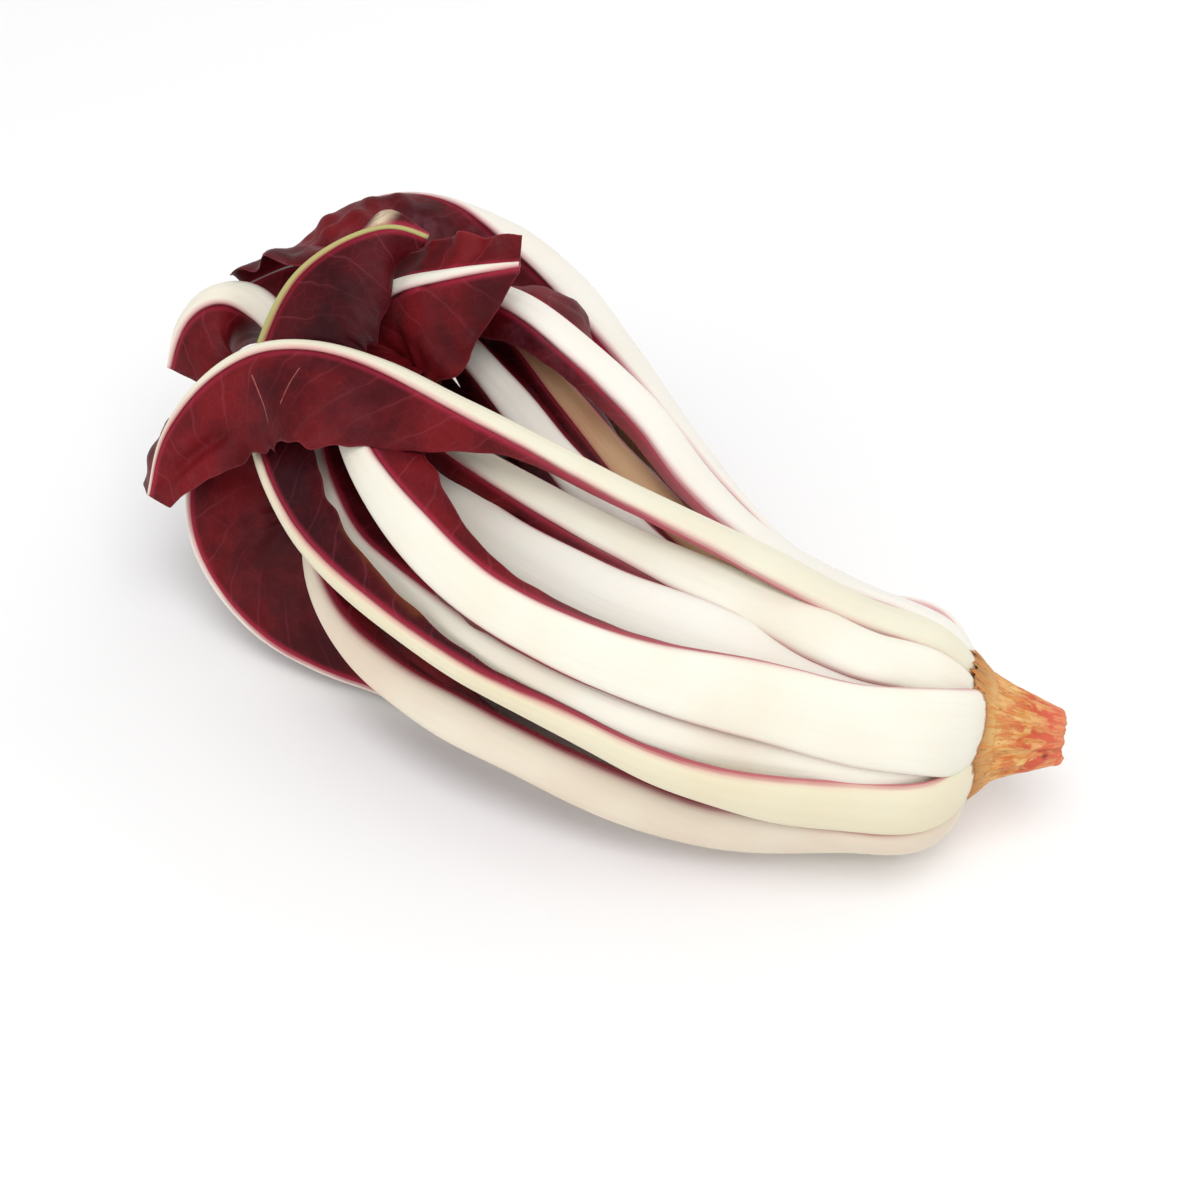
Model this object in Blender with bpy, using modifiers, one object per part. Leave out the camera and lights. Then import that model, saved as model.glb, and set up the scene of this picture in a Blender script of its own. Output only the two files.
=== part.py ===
"""Radicchio head, late Treviso type: a trimmed taproot that carries whorls of thick-ribbed leaves.

The head lies on its side on the ground plane. +X points to the root, -Y is the near side and +Z is up.
Each leaf is a loft: a thick rib follows a route, and a thin blade is folded away from the rib on each side.
Lengths below are millimetres; MM turns them into Blender's metres.
"""

import bmesh
import bpy
import numpy as np
from mathutils import Matrix, Vector
from mathutils.bvhtree import BVHTree

MM = 0.001

# Driving dimensions, millimetres.
CROWN = np.array([90.6, 0.1, 26.0])        # centre of the collar where root and leaves meet
BULGE = np.array([70.3, -7.5, 26.0])       # centre of the head's thickest ring near the root
RIB_DEPTH = (1.6, 0.30)                     # a rib's depth: this much, and this share of its width
BLADE_THICKNESS = 0.8
FRAME_SHIFT = (-9.49, -4.25, 0.0)            # brings the middle of the head's outline over the origin
MARGIN = 2.2                                # narrow blade along the lower rib
CLEARANCE = 0.45                            # gap left between neighbouring leaves

STATIONS = {"outer": 16, "second": 16, "middle": 13, "inner": 12, "heart": 11}   # sections along a leaf
BLADE_STEPS = 2                             # section points across a blade
BACK_STEPS = 4                              # spans across the rib's rounded back
BELLY_STEPS = 2                             # spans across the rib's flatter inner face
FINE_STEPS = 400                            # samples of a route before it is spaced evenly

# Where a foot climbs from the crown to its ring: share of the way to the bulge, distance from the head's axis.
FOOT = {
    "outer": [(0.12, 12.2), (0.18, 16.4), (0.33, 20.6), (0.60, 22.8), (1.0, 23.2)],
    "second": [(0.22, 9.6), (0.30, 13.6), (0.52, 17.4), (0.80, 19.0), (1.1, 19.4)],
    "middle": [(0.34, 9.0), (0.46, 12.2), (0.72, 15.0), (1.1, 15.8)],
    "inner": [(0.62, 5.0), (0.84, 7.4), (1.2, 9.2), (1.6, 9.8)],
    "heart": [(0.90, 1.4), (1.20, 2.6), (1.6, 3.4), (2.0, 3.6)],
}

# The root with the crown it carries: share of the way to the bulge, radius.
ROOT_PROFILE = [(-0.75, 0.0), (-0.75, 4.6), (-0.71, 5.2), (-0.48, 7.0), (-0.30, 8.4), (-0.14, 9.9), (-0.02, 11.2),
                (0.06, 11.2), (0.13, 10.0), (0.24, 7.8), (0.36, 6.6), (0.58, 3.2), (0.76, 1.2), (0.80, 0.0)]
ROOT_STEPS = 18

# A rib's width is given at these shares of its length; each whorl has its usual widths, millimetres.
WIDTH_AT = [0.0, 0.07, 0.18, 0.45, 0.72, 1.0]
RIB_WIDTH = {
    "outer": (8.5, 11, 12, 9.5, 6, 2.2),
    "second": (7, 10.5, 12, 9, 5.5, 2.2),
    "middle": (6, 9, 10, 8.5, 5, 2.2),
    "inner": (4.5, 6.5, 8, 7, 4.5, 2.2),
    "heart": (2.8, 4, 5.5, 5.5, 4, 2.2),
}


class Leaf:
    """One leaf: where its foot sits on the crown, the route of its rib, and how its blades fold."""

    def __init__(self, name, whorl, angle, route, facing=(), left=(12, 80, 20), right=(12, 80, 20),
                 onset=0.45, widths=None, rank=None):
        self.name = name
        self.whorl = whorl
        self.angle = angle            # degrees round the head at the foot, from the top towards the near side
        self.route = route            # rib points beyond the bulge, millimetres
        self.facing = facing          # (share of the length, direction that the rib's back looks)
        self.left = left              # blade: full width, fold angle at the tip end, curl across the blade
        self.right = right
        self.onset = onset            # share of the length where the blades start to widen
        self.widths = widths or RIB_WIDTH[whorl]
        self.rank = list(FOOT).index(whorl) + 1 if rank is None else rank   # the lower keeps its shape


LEAVES = [
    # The outer whorl, from the top over the near side, under the belly and up the far side.
    Leaf("outer_leaf_top", "outer", -14,
         [(42, -4, 54), (20, -7, 61), (1, -7, 65), (-16, -6, 67), (-35, -4, 68), (-49, -5, 68), (-60, -9, 66),
          (-69, -15, 59), (-75.5, -22, 47), (-77, -27, 35)],
         [(0.45, (0, 0.2, 1)), (0.75, (0, 0.35, 1)), (0.9, (-0.6, -0.5, 0.7)), (1.0, (-0.6, -0.9, 0.2))],
         left=(21, 50, 10), right=(4, 80, 20), onset=0.42, widths=(6, 8.5, 9.4, 6.2, 3.4, 2.2)),
    Leaf("outer_leaf_near_top", "outer", 13,
         [(50, -10, 48), (36, -10, 49.5), (18, -9, 51), (-2, -7, 53), (-21, -3, 54), (-37, 3, 54), (-49, 10, 55)],
         left=(12, 80, 10), right=(12, 85, 10), widths=(6, 9.5, 10.5, 7, 5, 2.2)),
    Leaf("outer_leaf_near_high", "outer", 47,
         [(59, -28, 44), (41, -34, 47), (24, -37, 50), (4, -36, 53), (-13, -31, 57), (-30, -20, 58),
          (-42, -5, 56), (-48, 11, 59), (-43.3, 17, 67.5), (-30.5, 17, 77), (-18, 21, 81.5)],
         [(0.55, (-0.1, -0.9, 0.6)), (0.72, (-0.8, -0.5, 0.4)), (0.88, (-0.1, -0.1, 1)), (1.0, (0, 0, 1))],
         left=(8, -20, -20), right=(20, 45, 10), onset=0.58, widths=(15, 15.5, 15, 10, 7, 3), rank=0),
    Leaf("outer_leaf_near_low", "outer", 88,
         [(63, -36, 28), (45, -41, 31), (25, -43, 36), (4, -43, 39), (-15, -40, 42), (-32, -34, 43),
          (-45, -26, 43), (-57, -16, 46), (-63, -8, 53), (-63, -1, 64), (-60, 7, 73), (-52.5, 14.5, 79.5), (-45, 20, 82),
          (-39, 22, 81)],
         [(0.5, (-0.1, -1, 0.1)), (0.68, (-0.7, -0.7, 0)), (0.8, (-0.5, -0.7, 0.3)), (1.0, (-0.4, -0.7, 0.5))],
         left=(3, 90, 10), right=(19, 26, 10), onset=0.58, widths=(10, 11, 9.4, 5.2, 4.0, 2.2)),
    Leaf("outer_leaf_belly_near", "outer", 118,
         [(52, -35, 13), (35, -39, 16), (16, -41, 21), (-12, -38, 25), (-31, -33, 28), (-44, -26, 30),
          (-58, -14, 31), (-69, -2, 36)],
         [(0.6, (0, -0.9, -0.3)), (1.0, (-0.8, -0.5, 0))],
         left=(12, 70, 20), right=(14, 80, 20), onset=0.5),
    Leaf("outer_leaf_belly_mid", "outer", 149,
         [(45, -27, 3), (20, -28, 2.6), (0, -27, 2.6), (-25, -26, 3.4), (-38, -28, 5), (-52, -28, 8),
          (-63, -26, 14), (-70, -23, 21), (-74, -18, 29), (-75, -11, 38), (-73, -2, 45), (-69, 7, 50)],
         [(0.6, (0, -0.6, -0.8)), (0.8, (-0.7, -0.7, -0.3)), (1.0, (-0.8, -0.5, 0.2))],
         left=(16, 60, 15), right=(26, 72, 5), onset=0.42),
    Leaf("outer_leaf_belly_centre", "outer", 184,
         [(45, -13, 2.8), (20, -14, 2.6), (0, -13, 2.6), (-20, -9, 2.8), (-38, -5, 4), (-54, -3, 9), (-66, -1, 17),
          (-73, 2, 27)],
         [(0.7, (-0.2, 0, -1)), (1.0, (-1, 0, -0.4))],
         left=(17, 50, 20), right=(17, 50, 20)),
    Leaf("outer_leaf_belly_far", "outer", 219,
         [(45, 1, 3), (20, 3, 2.6), (0, 7, 2.6), (-20, 13, 2.8), (-38, 18, 4), (-54, 21, 8), (-66, 20, 15),
          (-73, 17, 24)],
         [(0.7, (-0.2, 0.3, -1)), (1.0, (-1, 0.2, -0.4))],
         left=(17, 50, 20), right=(17, 50, 20)),
    Leaf("outer_leaf_far_low", "outer", 253,
         [(45, 11, 16), (20, 17, 14), (0, 25, 13), (-20, 33, 12), (-38, 40, 12), (-54, 42, 16), (-66, 39, 24),
          (-73, 33, 33)],
         [(0.65, (0, 0.9, -0.5)), (1.0, (-0.8, 0.6, -0.1))],
         left=(18, 60, 20), right=(18, 50, 20)),
    Leaf("outer_leaf_far_high", "outer", 286,
         [(43, 16, 35), (29, 21, 40), (12, 29, 47), (-6, 38, 54), (-23, 46, 59), (-38, 50, 62.5), (-52, 52, 62),
          (-64, 49, 60), (-73, 42, 57), (-79, 33, 52)],
         [(0.45, (0, 0.7, 0.7)), (0.75, (-0.1, 0.5, 0.8)), (1.0, (-0.8, 0.6, 0.4))],
         left=(26, 58, 15), right=(18, 50, 20), onset=0.44, widths=(8.5, 11, 12, 10, 7, 2.2)),
    Leaf("outer_leaf_crest", "outer", 317,
         [(45, 8, 44), (27, 11, 51), (12, 16, 60), (-4, 20, 66), (-20, 24, 69), (-35, 26, 67), (-50, 27, 64),
          (-63, 27, 63), (-73, 23, 60), (-81, 17, 56)],
         [(0.45, (0, 0.2, 1)), (0.7, (0, 0, 1)), (1.0, (-0.7, 0.3, 0.6))],
         left=(13, 60, 20), right=(12, 24, 20), onset=0.45, widths=(8.5, 10.5, 10.5, 8.6, 5, 2.2)),
    # The middle whorl, seen between the outer ribs.
    Leaf("second_leaf_near_high", "second", 33,
         [(55, -18, 43), (41, -20, 46), (22, -21, 47), (1, -17, 47), (-17, -9, 46), (-32, -1, 46), (-46, 8, 49)],
         left=(12, 85, 10), right=(14, 80, 20), widths=(7, 11, 13, 11, 6, 2.2)),
    Leaf("second_leaf_near_low", "second", 68,
         [(58, -32, 33), (43, -37, 36), (25, -39, 39), (7, -38, 41), (-9, -34, 42), (-27, -27, 41), (-44, -14, 41),
          (-56, -1, 46), (-63, 6.5, 52.5), (-69.5, 10, 57.5), (-76, 9.5, 60.5), (-82, 6, 60), (-85.5, 1.5, 56),
          (-87, -3, 50)],
         [(0.5, (-0.1, -0.9, 0.4)), (0.7, (-0.7, -0.5, 0.6)), (0.8, (-0.35, -0.35, 0.9)), (0.87, (-0.5, -0.4, 0.8)),
          (1.0, (-1, -0.4, 0.3))],
         left=(13, 56, 5), right=(3, 80, 5), onset=0.58, widths=(7, 10.5, 11.5, 7.4, 6.2, 3)),
    Leaf("middle_leaf_belly_near", "middle", 106,
         [(55, -24, 19), (35, -28, 21), (12, -30, 25), (-10, -27, 28), (-30, -20, 31), (-47, -9, 33), (-58, 3, 38),
          (-63, 10, 45)]),
    Leaf("middle_leaf_belly_mid", "middle", 146,
         [(50, -18, 12), (28, -19, 12), (5, -18, 13), (-18, -14, 15), (-38, -8, 18), (-54, 0, 25), (-62, 6, 33)]),
    Leaf("middle_leaf_belly_far", "middle", 196,
         [(50, -6, 11), (28, -4, 11), (5, 1, 12), (-18, 7, 13), (-38, 12, 16), (-54, 15, 23), (-63, 15, 31)]),
    Leaf("middle_leaf_far_low", "middle", 240,
         [(50, 4, 19), (28, 9, 19), (5, 16, 20), (-18, 24, 22), (-38, 29, 25), (-54, 29, 31), (-64, 25, 39)]),
    Leaf("middle_leaf_far_high", "middle", 280,
         [(50, 9, 30), (28, 15, 33), (5, 25, 38), (-18, 35, 44), (-38, 40, 49), (-54, 39, 52), (-66, 33, 51)]),
    Leaf("middle_leaf_crest", "middle", 315,
         [(50, 3, 39), (30, 5, 43), (12, 11, 48), (-8, 20, 54), (-26, 29, 57), (-42, 33, 55.5), (-54, 33, 52)],
         widths=(6, 8.5, 9.5, 7, 4.5, 2.2)),
    # The inner whorl and the heart, seen down in the open side of the head.
    Leaf("inner_leaf_crest", "inner", 340,
         [(45, -5, 39), (22, -2, 43), (-2, 8, 48), (-20, 17, 52), (-31, 21, 56), (-41, 24, 59)]),
    Leaf("inner_leaf_far_high", "inner", 285,
         [(45, 1, 30), (26, 7, 33), (6, 16, 37), (-9, 23, 41), (-22, 29, 45), (-36, 33, 50)]),
    Leaf("inner_leaf_near", "inner", 55,
         [(45, -18, 31), (20, -20, 33), (-3, -16, 34), (-25, -8, 35), (-43, 2, 39), (-54, 9, 45)]),
    Leaf("inner_leaf_low", "inner", 130,
         [(45, -15, 20), (20, -14, 21), (-5, -8, 23), (-28, 1, 26), (-46, 9, 31), (-56, 14, 38)]),
    Leaf("inner_leaf_far_low", "inner", 215,
         [(45, -2, 21), (20, 4, 23), (-5, 13, 26), (-28, 22, 30), (-46, 26, 37), (-57, 25, 45)]),
    Leaf("heart_leaf", "heart", 350,
         [(42, -9, 31), (18, -6, 34), (-6, 1, 38), (-26, 9, 44), (-40, 15, 51)]),
]


def smooth_step(low, high, value):
    """0 below low, 1 above high, and an S curve between."""
    x = np.clip((np.asarray(value, float) - low) / (high - low), 0, 1)
    return x * x * (3 - 2 * x)


def ring_point(centre, radius, angle):
    """A point on a ring square to the root's axis, its angle counted from the top towards the near side."""
    along = (CROWN - BULGE) / np.linalg.norm(CROWN - BULGE)
    turn = np.radians(angle)
    return centre + radius * (np.sin(turn) * np.array([along[1], -along[0], 0]) + np.cos(turn) * np.array([0, 0, 1.0]))


def shares(count):
    """Each station's share of the leaf's length."""
    return np.linspace(0, 1, count) ** 1.25


def stations_along(points, count):
    """A smooth curve through the points, cut into stations that lie closer together near the foot."""
    points = np.asarray(points, float)
    knots = np.concatenate([[0], np.cumsum(np.linalg.norm(np.diff(points, axis=0), axis=1) ** 0.5)])
    slopes = np.gradient(points, knots, axis=0)
    at = np.linspace(0, knots[-1], FINE_STEPS)
    i = np.clip(np.searchsorted(knots, at, side="right") - 1, 0, len(knots) - 2)
    span = (knots[i + 1] - knots[i])[:, None]
    u = (at - knots[i])[:, None] / span
    curve = ((2 * u**3 - 3 * u**2 + 1) * points[i] + (u**3 - 2 * u**2 + u) * span * slopes[i]
             + (3 * u**2 - 2 * u**3) * points[i + 1] + (u**3 - u**2) * span * slopes[i + 1])
    along = np.concatenate([[0], np.cumsum(np.linalg.norm(np.diff(curve, axis=0), axis=1))])
    stations = along[-1] * shares(count)
    return np.stack([np.interp(stations, along, curve[:, k]) for k in range(3)], axis=1)


def unit(vectors):
    """The vectors at length one."""
    return vectors / np.linalg.norm(vectors, axis=-1, keepdims=True)


def rib_frames(leaf, count):
    """The rib's stations, with the direction of its back and of its right-hand side at each."""
    foot = [ring_point(CROWN + share * (BULGE - CROWN), radius, leaf.angle)
            for share, radius in FOOT[leaf.whorl]]
    spine = stations_along(foot + [np.array(p, float) for p in leaf.route], count)
    tangent = unit(np.gradient(spine, axis=0))
    outward = ring_point(np.zeros(3), 1.0, leaf.angle)
    keys = [(0.0, outward + np.array([1.0, 0, 0])), (0.12, outward), *leaf.facing]
    if not leaf.facing:
        keys.append((1.0, outward))
    back = np.stack([np.interp(shares(count), [k[0] for k in keys], [unit(np.array(k[1], float))[axis] for k in keys])
                     for axis in range(3)], axis=1)
    back = unit(back - (back * tangent).sum(1, keepdims=True) * tangent)
    return spine, back, np.cross(tangent, back)


def blade_line(width, fold, curl, steps):
    """Points and normals of a blade's middle line, from the rib outwards, as (sideways, back) pairs."""
    turns = np.radians(fold + curl * (np.arange(steps) + 0.5) / steps)
    step = width / steps
    points = np.cumsum(np.stack([np.cos(turns), -np.sin(turns)], axis=1) * step, axis=0)
    ends = np.radians(fold + curl * (np.arange(steps) + 1) / steps)
    return points, np.stack([np.sin(ends), np.cos(ends)], axis=1)


def section(half_width, depth, blades, grow):
    """The closed outline of a leaf at one station, as (sideways, back) pairs, seen from the foot."""
    half_width, depth = half_width + grow, depth + 2 * grow
    thick = BLADE_THICKNESS / 2 + grow
    arch = np.linspace(np.pi, 0, BACK_STEPS + 1)
    back = np.stack([half_width * np.cos(arch), 0.62 * depth * np.sin(arch) + thick * 0.5], axis=1)
    dip = np.linspace(0, np.pi, BELLY_STEPS + 2)[1:-1]
    belly = np.stack([max(half_width - 2 * thick, 0.3 * half_width) * np.cos(dip), -0.38 * depth * np.sin(dip) ** 0.5], axis=1)
    outer, inner = {}, {}
    for side, (width, fold, curl) in blades.items():
        points, normals = blade_line(width + grow, fold, curl, BLADE_STEPS)
        points = points + [half_width - thick, 0]
        outer[side] = (points + thick * normals) * [side, 1]
        inner[side] = (points - thick * normals) * [side, 1]
    return np.concatenate([outer[-1][::-1], back, outer[1], inner[1][::-1], belly, inner[-1]])


def blade_at(leaf, blade, share):
    """A blade's width, fold angle and curl at one share of the leaf's length."""
    width, fold, curl = blade
    opening = float(smooth_step(leaf.onset, leaf.onset + 0.35, share))
    tip = np.sqrt(np.clip(1 - ((max(share, 0.78) - 0.78) / 0.235) ** 2, 0.0, 1))
    margin = MARGIN * (0.25 + 0.75 * float(smooth_step(0.0, 0.2, share)))
    return ((margin + max(width - MARGIN, 0) * opening) * tip, 88 + (fold - 88) * opening, curl * opening)


def leaf_mesh(leaf, grow=0.0):
    """The leaf as a closed loft of its sections, in metres; grow swells it all round, in millimetres."""
    count = STATIONS[leaf.whorl]
    spine, back, sideways = rib_frames(leaf, count)
    spine = spine.copy()
    spine[0] -= grow * unit(spine[1] - spine[0])
    spine[-1] += grow * unit(spine[-1] - spine[-2])
    rows = []
    for i, share in enumerate(shares(count)):
        half_width = 0.5 * np.interp(share, WIDTH_AT, leaf.widths)
        depth = RIB_DEPTH[0] + RIB_DEPTH[1] * 2 * half_width
        blades = {-1: blade_at(leaf, leaf.left, share), 1: blade_at(leaf, leaf.right, share)}
        outline = section(half_width, depth, blades, grow)
        rows.append(spine[i] + outline[:, :1] * sideways[i] + outline[:, 1:] * back[i])
    points = np.concatenate(rows) * MM
    around = len(rows[0])
    faces = [(i * around + j, i * around + (j + 1) % around, (i + 1) * around + (j + 1) % around,
              (i + 1) * around + j) for i in range(count - 1) for j in range(around)]
    faces += [tuple(range(around))[::-1], tuple(range((count - 1) * around, count * around))]
    mesh = bpy.data.meshes.new(leaf.name)
    mesh.from_pydata(points.tolist(), [], faces)
    shape = bmesh.new()
    shape.from_mesh(mesh)
    bmesh.ops.triangulate(shape, faces=shape.faces)
    bmesh.ops.recalc_face_normals(shape, faces=shape.faces)
    shape.to_mesh(mesh)
    shape.free()
    return mesh


def root_profile_mesh(grow=0.0):
    """The root and crown's profile, to be turned about its own Z axis, which runs towards the root's tip."""
    mesh = bpy.data.meshes.new("root")
    reach = np.linalg.norm(BULGE - CROWN)
    radii = [radius + grow if radius else 0.0 for _, radius in ROOT_PROFILE]
    heights = [-share * reach for share, _ in ROOT_PROFILE]
    heights[0], heights[1], heights[-1] = heights[0] + grow, heights[1] + grow, heights[-1] - grow
    points = [(radius * MM, 0, height * MM) for radius, height in zip(radii, heights)]
    mesh.from_pydata(points, [(i, i + 1) for i in range(len(points) - 1)], [])
    return mesh


def screw(obj, steps):
    """Turns the object's profile a full circle about its own Z axis."""
    turn = obj.modifiers.new("turn", "SCREW")
    turn.axis, turn.steps, turn.render_steps = "Z", steps, steps
    turn.use_merge_vertices, turn.merge_threshold = True, 0.00005


def closed_faces(mesh):
    """Triangulates the mesh and turns its faces outwards."""
    shape = bmesh.new()
    shape.from_mesh(mesh)
    bmesh.ops.triangulate(shape, faces=shape.faces)
    bmesh.ops.recalc_face_normals(shape, faces=shape.faces)
    shape.to_mesh(mesh)
    shape.free()


def applied(obj):
    """A new mesh of the object with its modifiers and its placing worked in."""
    bpy.context.view_layer.update()
    mesh = bpy.data.meshes.new_from_object(obj.evaluated_get(bpy.context.evaluated_depsgraph_get()))
    mesh.transform(obj.matrix_world)
    closed_faces(mesh)
    return mesh


def surface_tree(mesh):
    """A search tree over the mesh's faces."""
    return BVHTree.FromPolygons([v.co for v in mesh.vertices], [p.vertices for p in mesh.polygons])


def keep_largest_island(mesh):
    """Drops every separate piece of the mesh but the one with the most faces, by volume."""
    shape = bmesh.new()
    shape.from_mesh(mesh)
    left, islands = set(shape.faces), []
    while left:
        island, front = set(), [left.pop()]
        while front:
            face = front.pop()
            island.add(face)
            near = {f for edge in face.edges for f in edge.link_faces} & left
            left -= near
            front += near
        volume = sum(f.verts[0].co.dot(f.verts[1].co.cross(f.verts[2].co)) / 6 for f in island)
        islands.append((abs(volume), len(islands), island))
    islands.sort()
    lost = sum(volume for volume, _, _ in islands[:-1])
    bmesh.ops.delete(shape, geom=[f for _, _, island in islands[:-1] for f in island], context="FACES")
    shape.to_mesh(mesh)
    shape.free()
    return lost / islands[-1][0]


def cut(obj, cutter):
    """Takes the cutter's solid out of the object."""
    away = obj.modifiers.new("clear_" + cutter.name, "BOOLEAN")
    away.operation, away.solver, away.object = "DIFFERENCE", "EXACT", cutter
    away.use_self = True


def bake(obj):
    """Works the object's modifiers into its mesh and keeps the one main piece."""
    mesh = applied(obj)
    obj.modifiers.clear()
    obj.matrix_world = obj.matrix_world.Identity(4)
    obj.data = mesh
    lost = keep_largest_island(mesh)
    closed_faces(mesh)
    return lost


def finish(name, colour, roughness):
    """A Principled material."""
    material = bpy.data.materials.new(name)
    material.use_nodes = True
    shader = material.node_tree.nodes["Principled BSDF"]
    shader.inputs["Base Color"].default_value = (*colour, 1.0)
    shader.inputs["Roughness"].default_value = roughness
    return material


def add(name, mesh, collection):
    """An object of the mesh in the collection."""
    obj = bpy.data.objects.new(name, mesh)
    collection.objects.link(obj)
    return obj


def helper(name, mesh, collection):
    """A cutter: seen as wires, never rendered."""
    obj = add(name, mesh, collection)
    obj.hide_render, obj.display_type = True, "WIRE"
    return obj


def ground_mesh():
    """The half space below the ground, as a block."""
    mesh = bpy.data.meshes.new("ground")
    shape = bmesh.new()
    bmesh.ops.create_cube(shape, size=1.0)
    bmesh.ops.transform(shape, matrix=Matrix.Translation((0, 0, -0.5)), verts=shape.verts)
    shape.to_mesh(mesh)
    shape.free()
    return mesh


def main():
    """Builds the root and the leaves, clears each leaf from those before it, and flattens what the head rests on."""
    for obj in list(bpy.data.objects):
        bpy.data.objects.remove(obj)
    head = bpy.data.collections.new("radicchio_head")
    cutters = bpy.data.collections.new("cutters")
    for collection in (head, cutters):
        bpy.context.scene.collection.children.link(collection)
    cutters.hide_render = True

    standing = (Matrix.Translation(Vector(CROWN * MM))
                @ Vector(CROWN - BULGE).to_track_quat("Z", "Y").to_matrix().to_4x4())
    root = add("root", root_profile_mesh(), head)
    room = helper("room_for_root", root_profile_mesh(CLEARANCE), cutters)
    for obj in (root, room):
        screw(obj, ROOT_STEPS)
        obj.matrix_world = standing
        bake(obj)
    ground = helper("ground", ground_mesh(), cutters)

    solids = {"root": (room, surface_tree(room.data))}
    order = sorted(LEAVES, key=lambda leaf: leaf.rank)
    for leaf in order:
        obj = add(leaf.name, leaf_mesh(leaf), head)
        tree = surface_tree(obj.data)
        for grown, grown_tree in solids.values():
            if tree.overlap(grown_tree):
                cut(obj, grown)
        if min(v.co.z for v in obj.data.vertices) < 0:
            cut(obj, ground)
        lost = bake(obj)
        grown = helper("room_for_" + leaf.name, leaf_mesh(leaf, CLEARANCE), cutters)
        solids[leaf.name] = (grown, surface_tree(grown.data))
        print(leaf.name, len(obj.data.polygons), "triangles, lost", round(100 * lost, 2), "%")

    leaf_finish = finish("leaf", (0.62, 0.28, 0.26), 0.45)
    root_finish = finish("root", (0.62, 0.24, 0.07), 0.7)
    for obj in head.objects:
        obj.data.materials.clear()
        obj.data.materials.append(root_finish if obj is root else leaf_finish)
        obj.data.transform(Matrix.Translation(Vector(FRAME_SHIFT) * MM))


if __name__ == "__main__":
    main()
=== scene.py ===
"""A head of late red radicchio on its side: whorls of thick pale ribs with crimson blades on a pared root.

Leaves and root are surfaces worked out in numpy round routes that start on the crown. Lengths in the plans
are millimetres in the growing frame: +X towards the root, -Y the near side, +Z up. PLACE moves them to the
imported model's frame.
"""
import logging
from dataclasses import dataclass
from enum import Enum

import bpy
import numpy as np
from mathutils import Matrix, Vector


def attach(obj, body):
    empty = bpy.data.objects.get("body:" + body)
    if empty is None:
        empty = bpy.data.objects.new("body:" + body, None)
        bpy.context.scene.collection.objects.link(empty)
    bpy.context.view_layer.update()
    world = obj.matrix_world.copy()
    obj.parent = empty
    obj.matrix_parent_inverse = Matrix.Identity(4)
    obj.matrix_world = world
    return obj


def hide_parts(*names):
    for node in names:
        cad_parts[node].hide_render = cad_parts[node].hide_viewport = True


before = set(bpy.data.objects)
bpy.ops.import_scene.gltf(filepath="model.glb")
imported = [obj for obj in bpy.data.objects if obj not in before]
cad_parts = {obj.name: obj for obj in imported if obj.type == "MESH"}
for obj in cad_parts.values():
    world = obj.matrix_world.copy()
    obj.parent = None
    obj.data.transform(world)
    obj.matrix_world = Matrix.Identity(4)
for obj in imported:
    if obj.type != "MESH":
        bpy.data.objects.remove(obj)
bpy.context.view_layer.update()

MM = 0.001
LOG = logging.getLogger("radicchio")
PLACE = np.array([-9.49, -4.25, 0.0]) * MM
FLOOR_Z = 0.0
FLOOR_SOFTNESS = 0.00025

CROWN = np.array([90.6, 0.1, 26.0])
BULGE = np.array([70.3, -7.5, 26.0])
HEAD_AXIS = (CROWN - BULGE) / np.linalg.norm(CROWN - BULGE)

Keys = tuple[tuple[float, ...], ...]
Socket = bpy.types.NodeSocket


class Whorl(Enum):
    """A ring of leaves on the crown, and the foot's climb: (share of the way to the bulge, radius)."""

    OUTER = ((0.10, 12.0), (0.17, 16.2), (0.32, 20.6), (0.60, 22.8), (1.0, 23.2))
    SHOULDER = ((0.10, 11.8), (0.19, 14.7), (0.36, 17.9), (0.66, 20.3), (1.0, 22.3))
    SECOND = ((0.20, 9.6), (0.30, 13.6), (0.52, 17.4), (0.80, 19.0), (1.1, 19.4))
    WEDGED = ((0.13, 10.8), (0.22, 14.8), (0.40, 18.9), (0.68, 21.2), (1.05, 21.8))
    MIDDLE = ((0.34, 9.0), (0.46, 12.2), (0.72, 15.0), (1.1, 15.8))
    INNER = ((0.62, 5.0), (0.84, 7.4), (1.2, 9.2), (1.6, 9.8))
    HEART = ((0.90, 1.4), (1.20, 2.6), (1.6, 3.4), (2.0, 3.6))


@dataclass(frozen=True)
class Tone:
    """A finish of leaf tissue: linear colours of the rib and of the blade.

    Args:
        name: the material's name.
        rib: the rib's main colour.
        rib_shade: what the rib drifts to in soft patches.
        deep: the blade's darkest colour.
        bright: the blade's freshest red.
        bloom_and_sheen: the colour of a dusty film on a blade, which also serves as painted sheen.
        haze_and_sheen: how much of the blade the dusty film and its painted sheen cover, 0 to 1.
        green: how far the rib turns yellow-green towards its tip, 0 to 1.
        marks: blemishes: side, two ends as distance along and distance from the rib, reach, colour.
    """

    name: str
    rib: tuple[float, float, float] = (0.86, 0.835, 0.73)
    rib_shade: tuple[float, float, float] = (0.83, 0.77, 0.64)
    deep: tuple[float, float, float] = (0.050, 0.002, 0.004)
    bright: tuple[float, float, float] = (0.165, 0.006, 0.009)
    bloom_and_sheen: tuple[float, float, float] = (0.150, 0.035, 0.052)
    haze_and_sheen: float = 0.12
    green: float = 0.0
    marks: Keys = ()


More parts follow.
